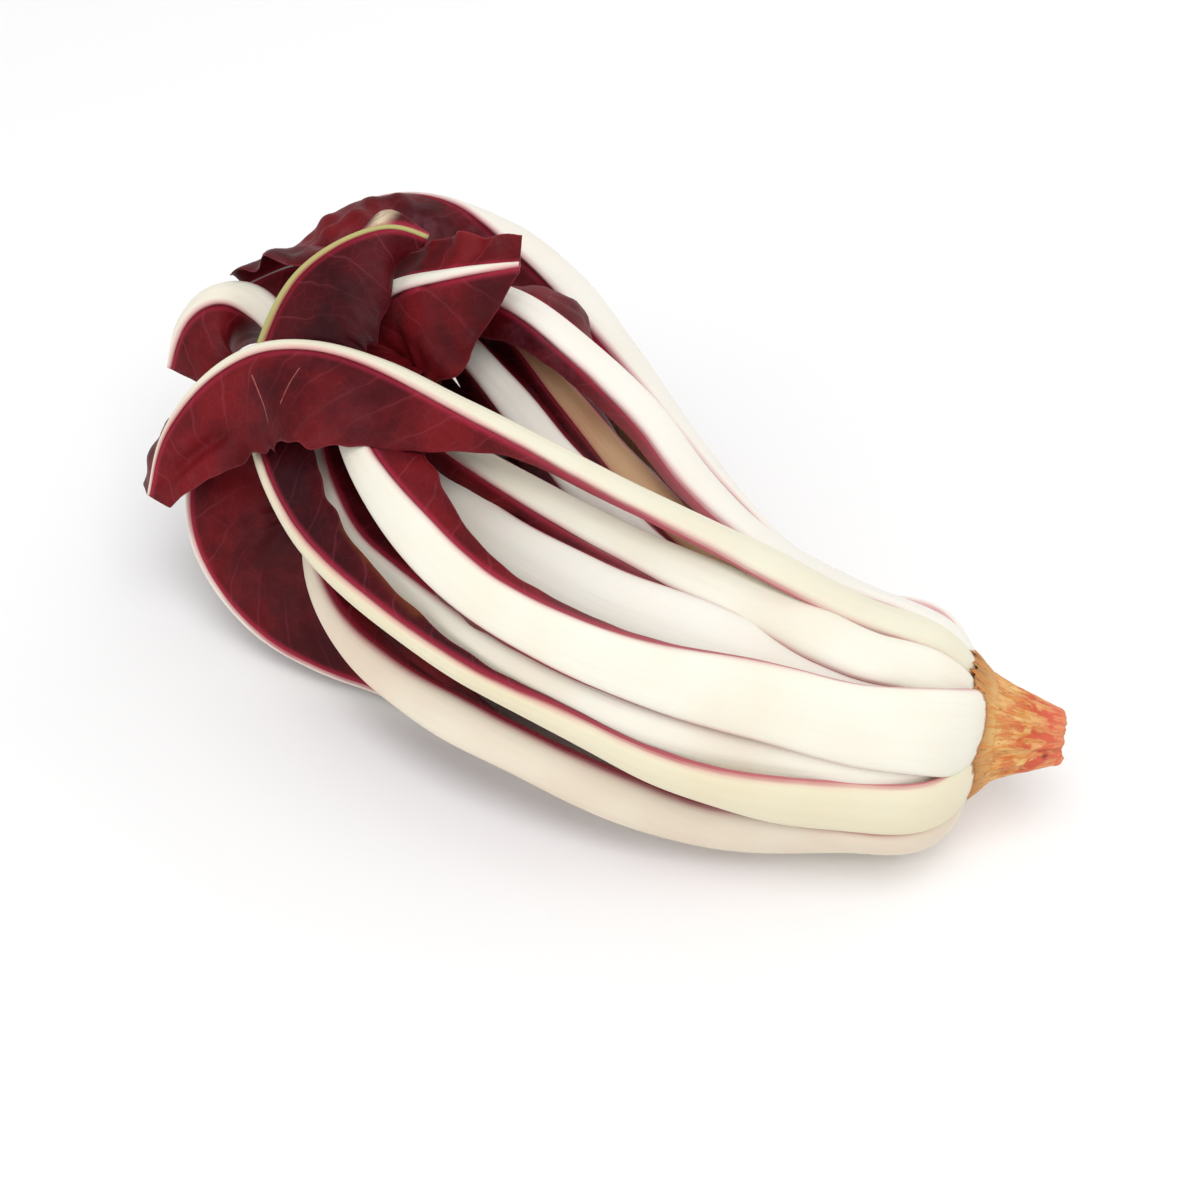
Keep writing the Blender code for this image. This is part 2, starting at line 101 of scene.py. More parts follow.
CREAM = Tone("cream_leaf")
MARKED = Tone("marked_leaf", rib=(0.80, 0.775, 0.62), rib_shade=(0.79, 0.73, 0.58),
              marks=((-1, 157, 4, 155, 14, 0.28, 0.42, 0.13, 0.10),
                     (-1, 145, 4, 149, 11, 0.25, 0.40, 0.12, 0.10)))
# painted shade: a darker, warmer copy of the cream rib for the leaves on the belly and inside the head, where
# shade falls
SHADED = Tone("shaded_leaf", rib=(0.82, 0.75, 0.61), rib_shade=(0.76, 0.64, 0.51), haze_and_sheen=0.25)
GREENISH = Tone("greenish_leaf", rib=(0.80, 0.74, 0.56), rib_shade=(0.78, 0.70, 0.50), green=1.0, haze_and_sheen=0.06,
                bright=(0.080, 0.003, 0.006), deep=(0.026, 0.001, 0.003),
                marks=((1, 116, 4.0, 140, 8, 2.6, 0.15, 0.040, 0.010),
                       (-1, 228, 0, 231, 6, 3.2, 0.74, 0.60, 0.42)))
# painted sheen: the leaves on top get a wide dusty film that stands in for the sheen on their upward faces
WHITE = Tone("white_leaf", rib=(0.86, 0.83, 0.76), rib_shade=(0.84, 0.79, 0.70), haze_and_sheen=0.6)
TAN = Tone("tan_leaf", rib=(0.56, 0.36, 0.21), rib_shade=(0.42, 0.19, 0.10), deep=(0.030, 0.003, 0.006),
           bright=(0.120, 0.008, 0.012), haze_and_sheen=0.1)
DARK = Tone("dark_leaf", rib=(0.72, 0.60, 0.48), rib_shade=(0.62, 0.46, 0.36), deep=(0.022, 0.003, 0.006),
            bright=(0.090, 0.007, 0.014), haze_and_sheen=0.4)


@dataclass(frozen=True)
class Blade:
    """One side's blade, as keys along the leaf: share of length, width, fold away from the rib, curl across.

    Args:
        keys: (share, width in mm, fold in degrees, curl in degrees) from foot to tip.
        ruffle: height of the margin's waves, mm.
        wave: length of those waves, mm.
        crumple: height of the crumpling towards the tip, mm.
        creases: folds from (share, share across) to (share, share across), with depth and half-width, mm.
    """

    keys: Keys
    ruffle: float = 1.0
    wave: float = 22.0
    crumple: float = 0.5
    creases: Keys = ()


NARROW = Blade(((0, 0.8, 88, 0), (0.15, 2.2, 88, 0), (0.45, 2.4, 86, 0), (0.65, 7, 72, 15),
                (0.82, 11, 62, 25), (0.95, 8, 60, 30), (1, 2.0, 60, 20)))
WIDE = Blade(((0, 0.8, 88, 0), (0.15, 2.2, 88, 0), (0.42, 2.6, 84, 0), (0.60, 11, 62, 15), (0.78, 17, 50, 20),
              (0.92, 14, 48, 25), (1, 3.0, 50, 20)), ruffle=1.8)


@dataclass(frozen=True)
class LeafPlan:
    """One leaf: its node, where its foot sits, the route of its rib and the shape of its blades.

    Args:
        node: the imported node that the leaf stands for.
        whorl: the ring that the foot grows from.
        angle: degrees round the head at the foot, from the top towards the near side.
        route: rib points beyond the bulge, mm.
        facing: (share, x, y, z) keys of the direction that the rib's back looks.
        left: the blade on the side that lies to the near side of a leaf on top.
        right: the other blade.
        widths: (share, rib width in mm) keys.
        tone: the finish.
        fine: True for leaves that are seen from the front, which get more points.
    """

    node: str
    whorl: Whorl
    angle: float
    route: Keys
    facing: Keys = ()
    left: Blade = NARROW
    right: Blade = NARROW
    widths: Keys = ((0, 8.5), (0.07, 11), (0.18, 12), (0.45, 9.5), (0.72, 6), (0.92, 2.6), (1, 0.9))
    tone: Tone = CREAM
    fine: bool = True


def blade(*keys: tuple[float, float, float, float], ruffle: float = 1.2, wave: float = 22.0,
          crumple: float = 0.6) -> Blade:
    """A blade that starts as the usual narrow margin at the foot and then follows the keys.

    Args:
        keys: (share, width, fold, curl) keys beyond the foot.
        ruffle: height of the margin's waves, mm.
        wave: length of those waves, mm.
        crumple: height of the crumpling towards the tip, mm.

    Returns:
        The blade.
    """
    return Blade(((0, 0.8, 88, 0), (0.12, 2.2, 88, 0), *keys), ruffle, wave, crumple)


LEAVES = (
    LeafPlan("outer_leaf_top", Whorl.SHOULDER, -14,
        ((42, -4, 54), (20, -7, 61), (1, -7, 65), (-16, -6, 67), (-35, -4, 68), (-49, -5, 68), (-60, -9, 66),
        (-69, -15, 59), (-75.5, -22, 47), (-77, -27, 35)),
        ((0.45, 0, 0.2, 1), (0.75, 0, 0.35, 1), (0.84, -0.3, -0.2, 1), (0.91, -0.6, -0.6, 0.6),
        (1, -0.6, -0.9, 0.2)),
        left=Blade(((0, 0.5, 88, 0), (0.2, 0.6, 80, 0), (0.35, 0.9, 70, 0), (0.45, 1.7, 62, 5),
        (0.5, 2.9, 58, 8), (0.55, 7.2, 54, 8), (0.6, 12.4, 49, 8), (0.65, 16.6, 45, 8), (0.7, 19.2, 44, 8),
        (0.75, 20, 44, 8), (0.8, 19.6, 43, 8), (0.85, 18.4, 40, 8), (0.9, 16, 34, 8), (0.95, 12.4, 25, 8),
        (1, 5.5, 20, 8)), ruffle=0.35, wave=46, crumple=0.25, creases=((0.85, 0.6, 0.985, 0.45, 2.6, 1.8),
        (0.6, 0.22, 0.8, 0.12, 0.35, 0.6))),
        right=Blade(((0, 0.5, 88, 0), (0.2, 0.8, 70, 0), (0.3, 1.3, 46, 0), (0.45, 2, 40, 0),
        (0.52, 3.6, 46, 8), (0.6, 5, 62, 10), (0.68, 3, 84, 0), (0.84, 1.6, 86, 0), (0.885, 2.8, 56, 0),
        (0.92, 5.6, 24, 0), (0.97, 6.4, 12, 0), (1, 4.6, 6, 0)), ruffle=0.8, wave=9), tone=MARKED,
        widths=((0, 6), (0.07, 8.5), (0.2, 9.4), (0.35, 7.6), (0.5, 5.4), (0.6, 4.5), (0.7, 3.5), (0.8, 2.8),
        (0.87, 1.9), (0.93, 1.2), (1, 0.8))),
    LeafPlan("outer_leaf_near_top", Whorl.SHOULDER, 13,
        ((50, -10, 48), (36, -10, 49.5), (18, -9, 51), (-2, -7, 53), (-21, -3, 54), (-37, 3, 54),
        (-49, 10, 55)),
        left=Blade(((0, 0.5, 88, 0), (0.2, 0.6, 80, 0), (0.4, 1.2, 60, 0), (0.6, 2.8, 56, 5),
        (0.75, 5, 60, 15), (0.9, 8, 66, 20), (1, 3, 60, 20))),
        right=Blade(((0, 0.5, 88, 0), (0.2, 1, 80, 0), (0.4, 2.4, 80, 0), (0.6, 7, 60, 10),
        (0.8, 12, 56, 20), (1, 3, 60, 20))),
        widths=((0, 6), (0.07, 9.5), (0.22, 11.4), (0.5, 7.8), (0.75, 5.5), (1, 1.2))),
    LeafPlan("outer_leaf_near_high", Whorl.OUTER, 47,
        ((59, -28, 44), (41, -34, 47), (24, -37, 50), (4, -36, 53), (-13, -30.5, 56.5), (-31, -18.3, 56.3),
        (-43, -5.5, 56), (-51, 9.5, 59), (-46, 15.6, 67.5), (-31, 17, 77), (-18, 21, 81.5)),
        ((0.55, -0.1, -0.9, 0.6), (0.72, -0.8, -0.5, 0.4), (0.88, -0.1, -0.1, 1), (1, 0, 0, 1)),
        left=Blade(((0, 0.6, 88, 0), (0.2, 1.2, 84, 0), (0.32, 2.6, 70, 0), (0.45, 4.8, 60, 0),
        (0.6, 5.2, 60, 0), (0.7, 4, 64, 0), (0.77, 2.6, 56, 0), (0.86, 6, 0, -20), (0.92, 8, -18, -25),
        (0.955, 8, -22, -25), (0.972, 3.4, -26, -20), (0.985, 8.5, -34, -15), (1, 6.5, -30, 0)), ruffle=1.2,
        wave=9, crumple=1.5),
        right=Blade(((0, 0.6, 84, 0), (0.12, 0.9, 80, 0), (0.25, 1.3, 70, 0), (0.35, 2.2, 58, 0),
        (0.45, 3.2, 52, 0), (0.5, 4.4, 52, 4), (0.55, 6.8, 52, 6), (0.62, 9, 50, 8), (0.72, 13, 48, 10),
        (0.84, 20, 46, 12), (0.9, 20, 44, 12), (0.935, 18, 44, 8), (0.958, 12.5, 44, 6), (0.975, 8, 44, 4),
        (0.99, 3, 44, 0), (1, 1.2, 44, 0)), ruffle=0.7, wave=26, crumple=0.55),
        widths=((0, 15.5), (0.05, 16), (0.16, 15), (0.28, 12), (0.4, 10), (0.55, 9.2), (0.68, 7.6), (0.8, 6),
        (0.88, 4.2), (0.95, 2.6), (1, 1.2))),
    LeafPlan("outer_leaf_near_low", Whorl.OUTER, 88,
        ((63, -36, 28), (45, -41, 31), (25, -43, 36), (4, -43, 39), (-15, -40, 42), (-32, -34, 43),
        (-45, -26, 43), (-57, -16, 46), (-63, -8, 53), (-63, -1, 64), (-60, 7, 73.5), (-53, 14.5, 79.5),
        (-45, 20, 82), (-39, 22, 80)),
        ((0.5, -0.1, -1, 0.1), (0.68, -0.7, -0.7, 0), (0.8, -0.5, -0.7, 0.3), (1, -0.4, -0.7, 0.5)),
        left=Blade(((0, 0.5, 88, 0), (0.3, 1, 84, 0), (0.6, 1.8, 88, 0), (0.9, 2, 90, 0),
        (0.945, 1.2, 60, 0), (0.958, 4.8, 0, 0), (0.966, 4.8, -10, 0), (0.98, 1, 20, 0), (1, 0.8, 60, 0)),
        crumple=0.2),
        right=Blade(((0, 0.5, 84, 0), (0.3, 1.1, 72, 0), (0.4, 1.7, 60, 0), (0.45, 2.4, 56, 0),
        (0.5, 4, 54, 4), (0.55, 5.4, 52, 6), (0.6, 7.2, 50, 6), (0.65, 9.5, 50, 6), (0.7, 12, 50, 8),
        (0.76, 15, 42, 10), (0.8, 19, 28, 12), (0.85, 22, 20, 12), (0.9, 22.5, 8, 14), (0.945, 16, 8, 12),
        (0.98, 8, 14, 6), (1, 2.5, 20, 0)), ruffle=0.6, wave=30, crumple=0.35),
        widths=((0, 11.5), (0.06, 12.6), (0.15, 11), (0.22, 8.6), (0.3, 6.5), (0.4, 5), (0.5, 4.4),
        (0.7, 3.9), (0.77, 3), (0.82, 2.1), (0.88, 1.5), (0.94, 1.2), (1, 0.9)), tone=GREENISH),
    LeafPlan("outer_leaf_belly_near", Whorl.OUTER, 118,
        ((52, -35, 13), (35, -39, 16), (16, -41, 20), (-10, -39, 22), (-27, -34, 24), (-38, -27, 27.5),
        (-46, -17, 32), (-51, -6, 38)),
        ((0.35, 0, -0.95, 0.15), (0.6, -0.1, -0.9, 0.5), (0.8, -0.5, -0.8, 0.4), (1, -0.8, -0.5, 0.2)),
        left=blade((0.45, 1.6, 84, 0), (0.65, 5, 72, 15), (0.85, 9, 68, 20), (1, 3, 60, 20)),
        right=Blade(((0, 0.5, 84, 0), (0.3, 0.9, 76, 0), (0.5, 1.3, 72, 0), (0.62, 1.8, 74, 8),
        (0.75, 4, 70, 15), (0.9, 7, 66, 20), (1, 3, 60, 20))),
        widths=((0, 8.5), (0.07, 11), (0.18, 12), (0.35, 10.8), (0.55, 9.6), (0.72, 8), (0.88, 5), (1, 1.2)),
        tone=SHADED),
    LeafPlan("outer_leaf_belly_mid", Whorl.OUTER, 149,
        ((45, -27, 3), (20, -28, 2.6), (0, -27, 2.6), (-25, -26, 3.4), (-38, -28, 5), (-52, -28, 8),
        (-63, -26, 14), (-70, -23, 21), (-74, -18, 29), (-75, -11, 38), (-73, -2, 45), (-69, 7, 50)),
        ((0.6, 0, -0.6, -0.8), (0.8, -0.7, -0.7, -0.3), (1, -0.8, -0.5, 0.2)),
        left=blade((0.45, 2.4, 84, 0), (0.6, 8, 70, 15), (0.8, 12, 62, 18), (0.95, 10, 60, 20),
        (1, 4, 60, 20)),
        right=blade((0.36, 3, 82, 0), (0.46, 8, 76, 3), (0.56, 17, 72, 4), (0.66, 25, 70, 5),
        (0.78, 27, 70, 5), (0.92, 22, 70, 8), (1, 6, 70, 0), ruffle=0.7, wave=46, crumple=0.4),
        widths=((0, 8.5), (0.07, 11), (0.18, 11.5), (0.4, 8), (0.52, 4.6), (0.62, 3), (0.8, 2.6), (0.9, 2),
        (1, 1))),
    LeafPlan("outer_leaf_belly_centre", Whorl.OUTER, 184,
        ((45, -13, 2.8), (20, -14, 2.6), (0, -13, 2.6), (-20, -9, 2.8), (-38, -5, 4), (-54, -3, 9),
        (-66, -1, 17), (-73, 2, 27)), ((0.7, -0.2, 0, -1), (1, -1, 0, -0.4)), left=WIDE, right=WIDE,
        tone=SHADED, fine=False),
    LeafPlan("outer_leaf_belly_far", Whorl.OUTER, 219,
        ((45, 1, 3), (20, 3, 2.6), (0, 7, 2.6), (-20, 13, 2.8), (-38, 18, 4), (-54, 21, 8), (-66, 20, 15),
        (-73, 17, 24)), ((0.7, -0.2, 0.3, -1), (1, -1, 0.2, -0.4)), left=WIDE, right=WIDE, fine=False),
    LeafPlan("outer_leaf_far_low", Whorl.OUTER, 253,
        ((45, 11, 16), (20, 17, 14), (0, 25, 13), (-20, 33, 12), (-38, 40, 12), (-54, 42, 16), (-66, 39, 24),
        (-73, 33, 33)), ((0.65, 0, 0.9, -0.5), (1, -0.8, 0.6, -0.1)), left=WIDE, right=WIDE, fine=False),
    LeafPlan("outer_leaf_far_high", Whorl.OUTER, 286,
        ((43, 16, 35), (29, 21, 40), (12, 29, 47), (-6, 38, 54), (-23, 46, 59), (-38, 50, 62.5),
        (-52, 52, 62.5), (-64, 49, 62), (-73, 42, 59), (-79, 33, 53)),
        ((0.45, 0, 0.7, 0.7), (0.7, -0.1, 0.3, 0.95), (0.8, -0.3, 0.8, 0.5), (0.88, -0.3, 1, 0.1),
        (1, -0.8, 0.7, 0)),
        left=Blade(((0, 0.5, 84, 0), (0.3, 1.5, 84, 0), (0.46, 5, 76, 8), (0.6, 14, 66, 12),
        (0.7, 22, 56, 24), (0.8, 26, 48, 50), (0.92, 26, 42, 58), (1, 17, 40, 45)), ruffle=1.3, wave=9,
        crumple=1.5),
        right=blade((0.4, 2, 84, 0), (0.6, 12, 64, 15), (0.8, 17, 54, 20), (0.94, 13, 48, 25),
        (1, 3, 50, 20), ruffle=1.4),
        widths=((0, 8.5), (0.07, 11), (0.18, 12), (0.45, 11), (0.65, 10), (0.76, 8), (0.86, 4), (0.94, 2),
        (1, 0.9)), tone=WHITE),
    LeafPlan("outer_leaf_crest", Whorl.SHOULDER, 317,
        ((45, 8, 44), (27, 11, 51), (12, 16, 60), (-4, 20, 66), (-20, 24, 69), (-35, 26, 67), (-50, 27, 64),
        (-63, 27, 63), (-73, 23, 60), (-81, 17, 56)),
        ((0.45, 0, 0.2, 1), (0.66, 0, 0, 1), (0.8, -0.1, 0.8, 0.6), (1, -0.6, 0.7, 0.3)),
        left=Blade(((0, 0.5, 84, 0), (0.28, 1.4, 84, 0), (0.4, 2.6, 74, 0), (0.55, 4, 68, 4),
        (0.66, 7, 60, 10), (0.76, 12, 30, 30), (0.84, 17, 0, 60), (0.93, 18.5, -6, 62), (1, 8.5, -4, 45)),
        ruffle=0.8, wave=16),
        right=Blade(((0, 0.5, 84, 0), (0.3, 1.4, 84, 0), (0.535, 1.8, 60, 0), (0.56, 5, 30, 10),
        (0.585, 10, 14, 20), (0.62, 13, 10, 30), (0.67, 12, 14, 40), (0.74, 8, 40, 20), (0.9, 9, 50, 20),
        (1, 4, 50, 10)), ruffle=0.6, wave=18),
        widths=((0, 8.5), (0.07, 10.5), (0.18, 10.5), (0.45, 8.6), (0.6, 6.6), (0.68, 6), (0.8, 3),
        (0.9, 1.8), (1, 0.9)), tone=WHITE),
    LeafPlan("second_leaf_near_high", Whorl.SECOND, 33,
        ((55, -18, 43), (41, -20, 46), (22, -21, 47), (1, -17, 47), (-17, -9, 46), (-32, -1, 46),
        (-46, 8, 49)), left=blade((0.5, 1.6, 84, 0), (0.8, 8, 74, 20), (1, 3, 60, 20)),
        right=Blade(((0, 0.5, 84, 0), (0.2, 0.9, 80, 0), (0.35, 1.4, 66, 0), (0.5, 2.4, 62, 0),
        (0.62, 3.6, 60, 5), (0.75, 6, 60, 10), (0.88, 9, 60, 20), (1, 3, 60, 20))),
        widths=((0, 7), (0.07, 11), (0.2, 13), (0.48, 12.5), (0.66, 10.5), (0.82, 7), (1, 1.2)), tone=WHITE),
    LeafPlan("second_leaf_near_low", Whorl.WEDGED, 68,
        ((58, -32, 33), (43, -37, 36), (25, -39, 39), (7, -38, 41), (-9, -34, 42), (-27, -27, 41),
        (-44, -14, 41), (-56, -1, 46), (-63, 6.5, 52.5), (-69.5, 10, 57.5), (-76, 9.5, 60.5), (-82, 6, 60),
        (-85.5, 1.5, 55), (-86, -3.5, 47)),
        ((0.5, -0.1, -0.9, 0.4), (0.7, -0.7, -0.5, 0.6), (0.8, -0.35, -0.35, 0.9), (0.87, -0.5, -0.4, 0.8),
        (1, -1, -0.4, 0.3)),
        left=Blade(((0, 0.5, 88, 0), (0.3, 1.2, 88, 0), (0.6, 2, 86, 0), (0.72, 9, 76, 5), (0.78, 16, 70, 8),
        (0.84, 18.5, 66, 8), (0.9, 18, 60, 8), (0.96, 15.5, 50, 8), (1, 9, 46, 8)), ruffle=0.5, crumple=0.3),
        right=Blade(((0, 0.5, 80, 0), (0.25, 1, 76, 0), (0.36, 1.6, 64, 0), (0.44, 3.4, 58, 0),
        (0.5, 4.4, 58, 5), (0.6, 5, 62, 8), (0.8, 4, 80, 10), (0.92, 4, 90, 10), (1, 3, 90, 10)), ruffle=0.5
        ),
        widths=((0, 5.5), (0.07, 8), (0.2, 9.6), (0.3, 9.2), (0.4, 8), (0.5, 6.8), (0.62, 6.2), (0.8, 6.4),
        (0.9, 6.4), (0.96, 4.6), (1, 2))),
    LeafPlan("middle_leaf_belly_near", Whorl.MIDDLE, 106,
        ((55, -24, 19), (35, -28, 21), (12, -30, 25), (-10, -27, 28), (-30, -20, 31), (-47, -9, 33),
        (-58, 3, 38), (-63, 10, 45)), tone=SHADED, fine=False),
    LeafPlan("middle_leaf_belly_mid", Whorl.MIDDLE, 146,
        ((50, -18, 12), (28, -19, 12), (5, -18, 13), (-18, -14, 15), (-38, -8, 18), (-54, 0, 25),
        (-62, 6, 33)), tone=SHADED, fine=False),
    LeafPlan("middle_leaf_belly_far", Whorl.MIDDLE, 196,
        ((50, -6, 11), (28, -4, 11), (5, 1, 12), (-18, 7, 13), (-38, 12, 16), (-54, 15, 23), (-63, 15, 31)),
        tone=SHADED, fine=False),
    LeafPlan("middle_leaf_far_low", Whorl.MIDDLE, 240,
        ((50, 4, 19), (28, 9, 19), (5, 16, 20), (-18, 24, 22), (-38, 29, 25), (-54, 29, 31), (-64, 25, 39)),
        tone=DARK, fine=False),
    LeafPlan("middle_leaf_far_high", Whorl.MIDDLE, 280,
        ((50, 9, 30), (28, 15, 33), (5, 25, 38), (-18, 35, 44), (-38, 40, 49), (-54, 39, 52), (-66, 33, 51)),
        ((0.3, -0.1, -0.2, 1), (0.9, -0.3, 0.2, 1)),
        left=blade((0.3, 2, 70, 0), (0.5, 5, 60, 10), (0.75, 12, 56, 15), (1, 4, 50, 20)),
        right=blade((0.3, 2, 70, 0), (0.5, 6, 66, 10), (0.75, 12, 56, 15), (1, 4, 50, 20)),
        widths=((0, 6), (0.07, 8.5), (0.2, 8.5), (0.45, 6), (0.72, 4), (1, 1)), tone=TAN),
    LeafPlan("middle_leaf_crest", Whorl.MIDDLE, 315,
        ((50, 3, 39), (30, 5, 43), (12, 11, 48), (-8, 20, 54), (-26, 29, 57), (-42, 33, 55.5), (-54, 33, 52)
        ), ((0.3, -0.1, -0.4, 1), (0.9, -0.2, -0.2, 1)),
        left=blade((0.3, 1.4, 70, 0), (0.5, 3, 60, 5), (0.7, 7, 60, 15), (1, 4, 60, 10)),
        right=blade((0.3, 2, 80, 0), (0.5, 5, 70, 5), (0.75, 9, 66, 15), (1, 4, 60, 10)),
        widths=((0, 6), (0.07, 8.5), (0.2, 9), (0.45, 6.4), (0.72, 4), (1, 1)), tone=TAN),
    LeafPlan("inner_leaf_crest", Whorl.INNER, 340,
        ((45, -5, 39), (22, -2, 43), (-2, 8, 48), (-20, 17, 52), (-31, 21, 56), (-41, 24, 59)),
        ((0.3, -0.1, -0.3, 1), (1, -0.2, -0.4, 1)),
        left=blade((0.3, 1.6, 76, 0), (0.45, 3, 70, 0), (0.6, 7, 64, 0), (0.8, 10, 64, 10), (1, 3, 60, 20)),
        right=blade((0.3, 1.6, 70, 0), (0.5, 4, 60, 5), (0.75, 9, 62, 15), (1, 4, 60, 10)),
        widths=((0, 4.5), (0.1, 7), (0.3, 8), (0.6, 8), (0.8, 7), (0.92, 6), (1, 2)), tone=WHITE),
    LeafPlan("inner_leaf_far_high", Whorl.INNER, 285,
        ((45, 1, 30), (26, 7, 33), (6, 16, 37), (-9, 23, 41), (-22, 29, 45), (-36, 33, 50)),
        ((0.3, -0.1, -0.3, 1), (1, -0.2, -0.2, 1)),
        left=blade((0.3, 2, 70, 0), (0.5, 4, 56, 5), (0.75, 9, 50, 15), (1, 4, 60, 10)),
        widths=((0, 4.5), (0.1, 6.5), (0.3, 7), (0.6, 5), (0.8, 3.4), (1, 1.2)), tone=TAN),
    LeafPlan("inner_leaf_near", Whorl.INNER, 55,
        ((45, -18, 31), (20, -20, 33), (-3, -16, 34), (-25, -8, 35), (-43, 2, 39), (-54, 9, 45)),
        widths=((0, 4.5), (0.1, 6.5), (0.3, 8), (0.6, 6), (0.8, 4), (1, 1)), tone=SHADED, fine=False),
    LeafPlan("inner_leaf_low", Whorl.INNER, 130,
        ((45, -15, 20), (20, -14, 21), (-5, -8, 23), (-28, 1, 26), (-46, 9, 31), (-56, 14, 38)),
        widths=((0, 4.5), (0.1, 6.5), (0.3, 8), (0.6, 6), (0.8, 4), (1, 1)), tone=DARK, fine=False),
    LeafPlan("inner_leaf_far_low", Whorl.INNER, 215,
        ((45, -2, 21), (20, 4, 23), (-5, 13, 26), (-28, 22, 30), (-46, 26, 37), (-57, 25, 45)),
        widths=((0, 4.5), (0.1, 6.5), (0.3, 8), (0.6, 6), (0.8, 4), (1, 1)), tone=DARK, fine=False),
    LeafPlan("heart_leaf", Whorl.HEART, 350,
        ((42, -9, 31), (18, -6, 34), (-6, 1, 38), (-26, 9, 44), (-40, 15, 51)),
        widths=((0, 2.8), (0.1, 4), (0.3, 5.5), (0.6, 5), (0.8, 4), (1, 1)), tone=WHITE, fine=False),
)


def unit(vectors: np.ndarray) -> np.ndarray:
    """The vectors at length one."""
    return vectors / np.maximum(np.linalg.norm(vectors, axis=-1, keepdims=True), 1e-9)


def smoothed(values: np.ndarray, spread: float) -> np.ndarray:
    """Rounds the corners of values along their first axis, keeping both ends.

    Args:
        values: one row per station.
        spread: the rounding's reach, in stations.

    Returns:
        The values after a Gaussian average, with the ends mirrored through their end values first.
    """
    reach = int(3 * spread) + 1
    weights = np.exp(-0.5 * (np.arange(-reach, reach + 1) / spread) ** 2)
    weights /= weights.sum()
    rows = values.reshape(len(values), -1)
    padded = np.concatenate([2 * rows[:1] - rows[reach:0:-1], rows, 2 * rows[-1:] - rows[-2:-reach - 2:-1]])
    out = np.stack([np.convolve(padded[:, k], weights, "valid") for k in range(rows.shape[1])], axis=1)
    return out.reshape(values.shape)


def keyed(keys: Keys, shares: np.ndarray, spread: float) -> np.ndarray:
    """Values between keys of (share, value, ...), straight from key to key and then rounded.

    Args:
        keys: the share first, then one or more values.
        shares: where values are wanted.
        spread: the rounding's reach, in stations.

    Returns:
        One row per share, one column per value.
    """
    table = np.array(keys, float)
    rows = np.stack([np.interp(shares, table[:, 0], table[:, k]) for k in range(1, table.shape[1])], axis=1)
    return smoothed(rows, spread)


class SmoothNoise:
    """Smooth noise: sine waves of one rough length in many directions, added and scaled to about one."""

    def __init__(self, seed: int, length: float, waves: int = 14) -> None:
        """Draws the waves.

        Args:
            seed: the draw's seed.
            length: the waves' usual length.
            waves: how many are added.
        """
        draw = np.random.default_rng(seed)
        directions = unit(draw.normal(size=(waves, 3)))
        self.turns = directions * (2 * np.pi / length) * draw.uniform(0.55, 1.5, (waves, 1))
        self.phases = draw.uniform(0, 2 * np.pi, waves)

    def at(self, points: np.ndarray) -> np.ndarray:
        """The noise at each point: the sum of sin(turn . point + phase), times the root of 2 / count."""
        return np.sin(points @ self.turns.T + self.phases).sum(-1) * np.sqrt(2 / len(self.phases))


def ring_point(centre: np.ndarray, radius: float, angle: float) -> np.ndarray:
    """A point on a ring square to the root's axis: radius times (sin angle sideways + cos angle up)."""
    turn = np.radians(angle)
    sideways = np.array([HEAD_AXIS[1], -HEAD_AXIS[0], 0.0])
    return centre + radius * (np.sin(turn) * sideways + np.cos(turn) * np.array([0.0, 0.0, 1.0]))


def through(points: np.ndarray, count: int) -> np.ndarray:
    """A smooth curve through points, cut into stations of equal length.

    Args:
        points: the points, in order.
        count: how many stations.

    Returns:
        Cubic Hermite spans whose slopes are the points' central differences over the root of their spacing.
    """
    knots = np.concatenate([[0], np.cumsum(np.linalg.norm(np.diff(points, axis=0), axis=1) ** 0.5)])
    slopes = np.gradient(points, knots, axis=0)
    at = np.linspace(0, knots[-1], 1200)
    i = np.clip(np.searchsorted(knots, at, side="right") - 1, 0, len(knots) - 2)
    span = (knots[i + 1] - knots[i])[:, None]
    u = (at - knots[i])[:, None] / span
    curve = ((2 * u**3 - 3 * u**2 + 1) * points[i] + (u**3 - 2 * u**2 + u) * span * slopes[i]
             + (3 * u**2 - 2 * u**3) * points[i + 1] + (u**3 - u**2) * span * slopes[i + 1])
    along = np.concatenate([[0], np.cumsum(np.linalg.norm(np.diff(curve, axis=0), axis=1))])
    stations = np.linspace(0, along[-1], count)
    return np.stack([np.interp(stations, along, curve[:, k]) for k in range(3)], axis=1)


def put_mesh(name: str, grid: np.ndarray, attributes: dict[str, np.ndarray], run: np.ndarray,
             looped: bool = False) -> bpy.types.Object:
    """An object from a grid of rings: each ring is joined to the next, and each end is closed by one face.

    Args:
        name: the object's name.
        grid: points in metres, (rings, around, 3), each ring counter-clockwise seen from the last ring.
        attributes: a value per point for each name.
        run: (rings, around, 2) coordinates for the UV map named run.
        looped: joins the last ring to the first instead of closing the ends.

    Returns:
        The object, linked to the scene, shaded smooth.
    """
    rings, around = grid.shape[:2]
    index = np.arange(rings * around).reshape(rings, around)
    after = np.roll(index, -1, axis=1)
    onward = np.roll(index, -1, axis=0), np.roll(after, -1, axis=0)
    quads = np.stack([index, after, onward[1], onward[0]], axis=-1)[:rings if looped else -1].reshape(-1, 4)
    mesh = bpy.data.meshes.new(name)
    faces = quads.tolist() + ([] if looped else [index[0, ::-1].tolist(), index[-1].tolist()])
    mesh.from_pydata(grid.reshape(-1, 3).tolist(), [], faces)
    for key, values in attributes.items():
        layer = mesh.attributes.new(key, "FLOAT", "POINT")
        layer.data.foreach_set("value", values.astype(np.float32).ravel())
    corners = np.zeros(len(mesh.loops), np.int32)
    mesh.loops.foreach_get("vertex_index", corners)
    pairs = run.reshape(-1, 2)[corners].astype(np.float32)
    mesh.uv_layers.new(name="run").data.foreach_set("uv", pairs.ravel())
    mesh.shade_smooth()
    obj = bpy.data.objects.new(name, mesh)
    bpy.context.scene.collection.objects.link(obj)
    return obj


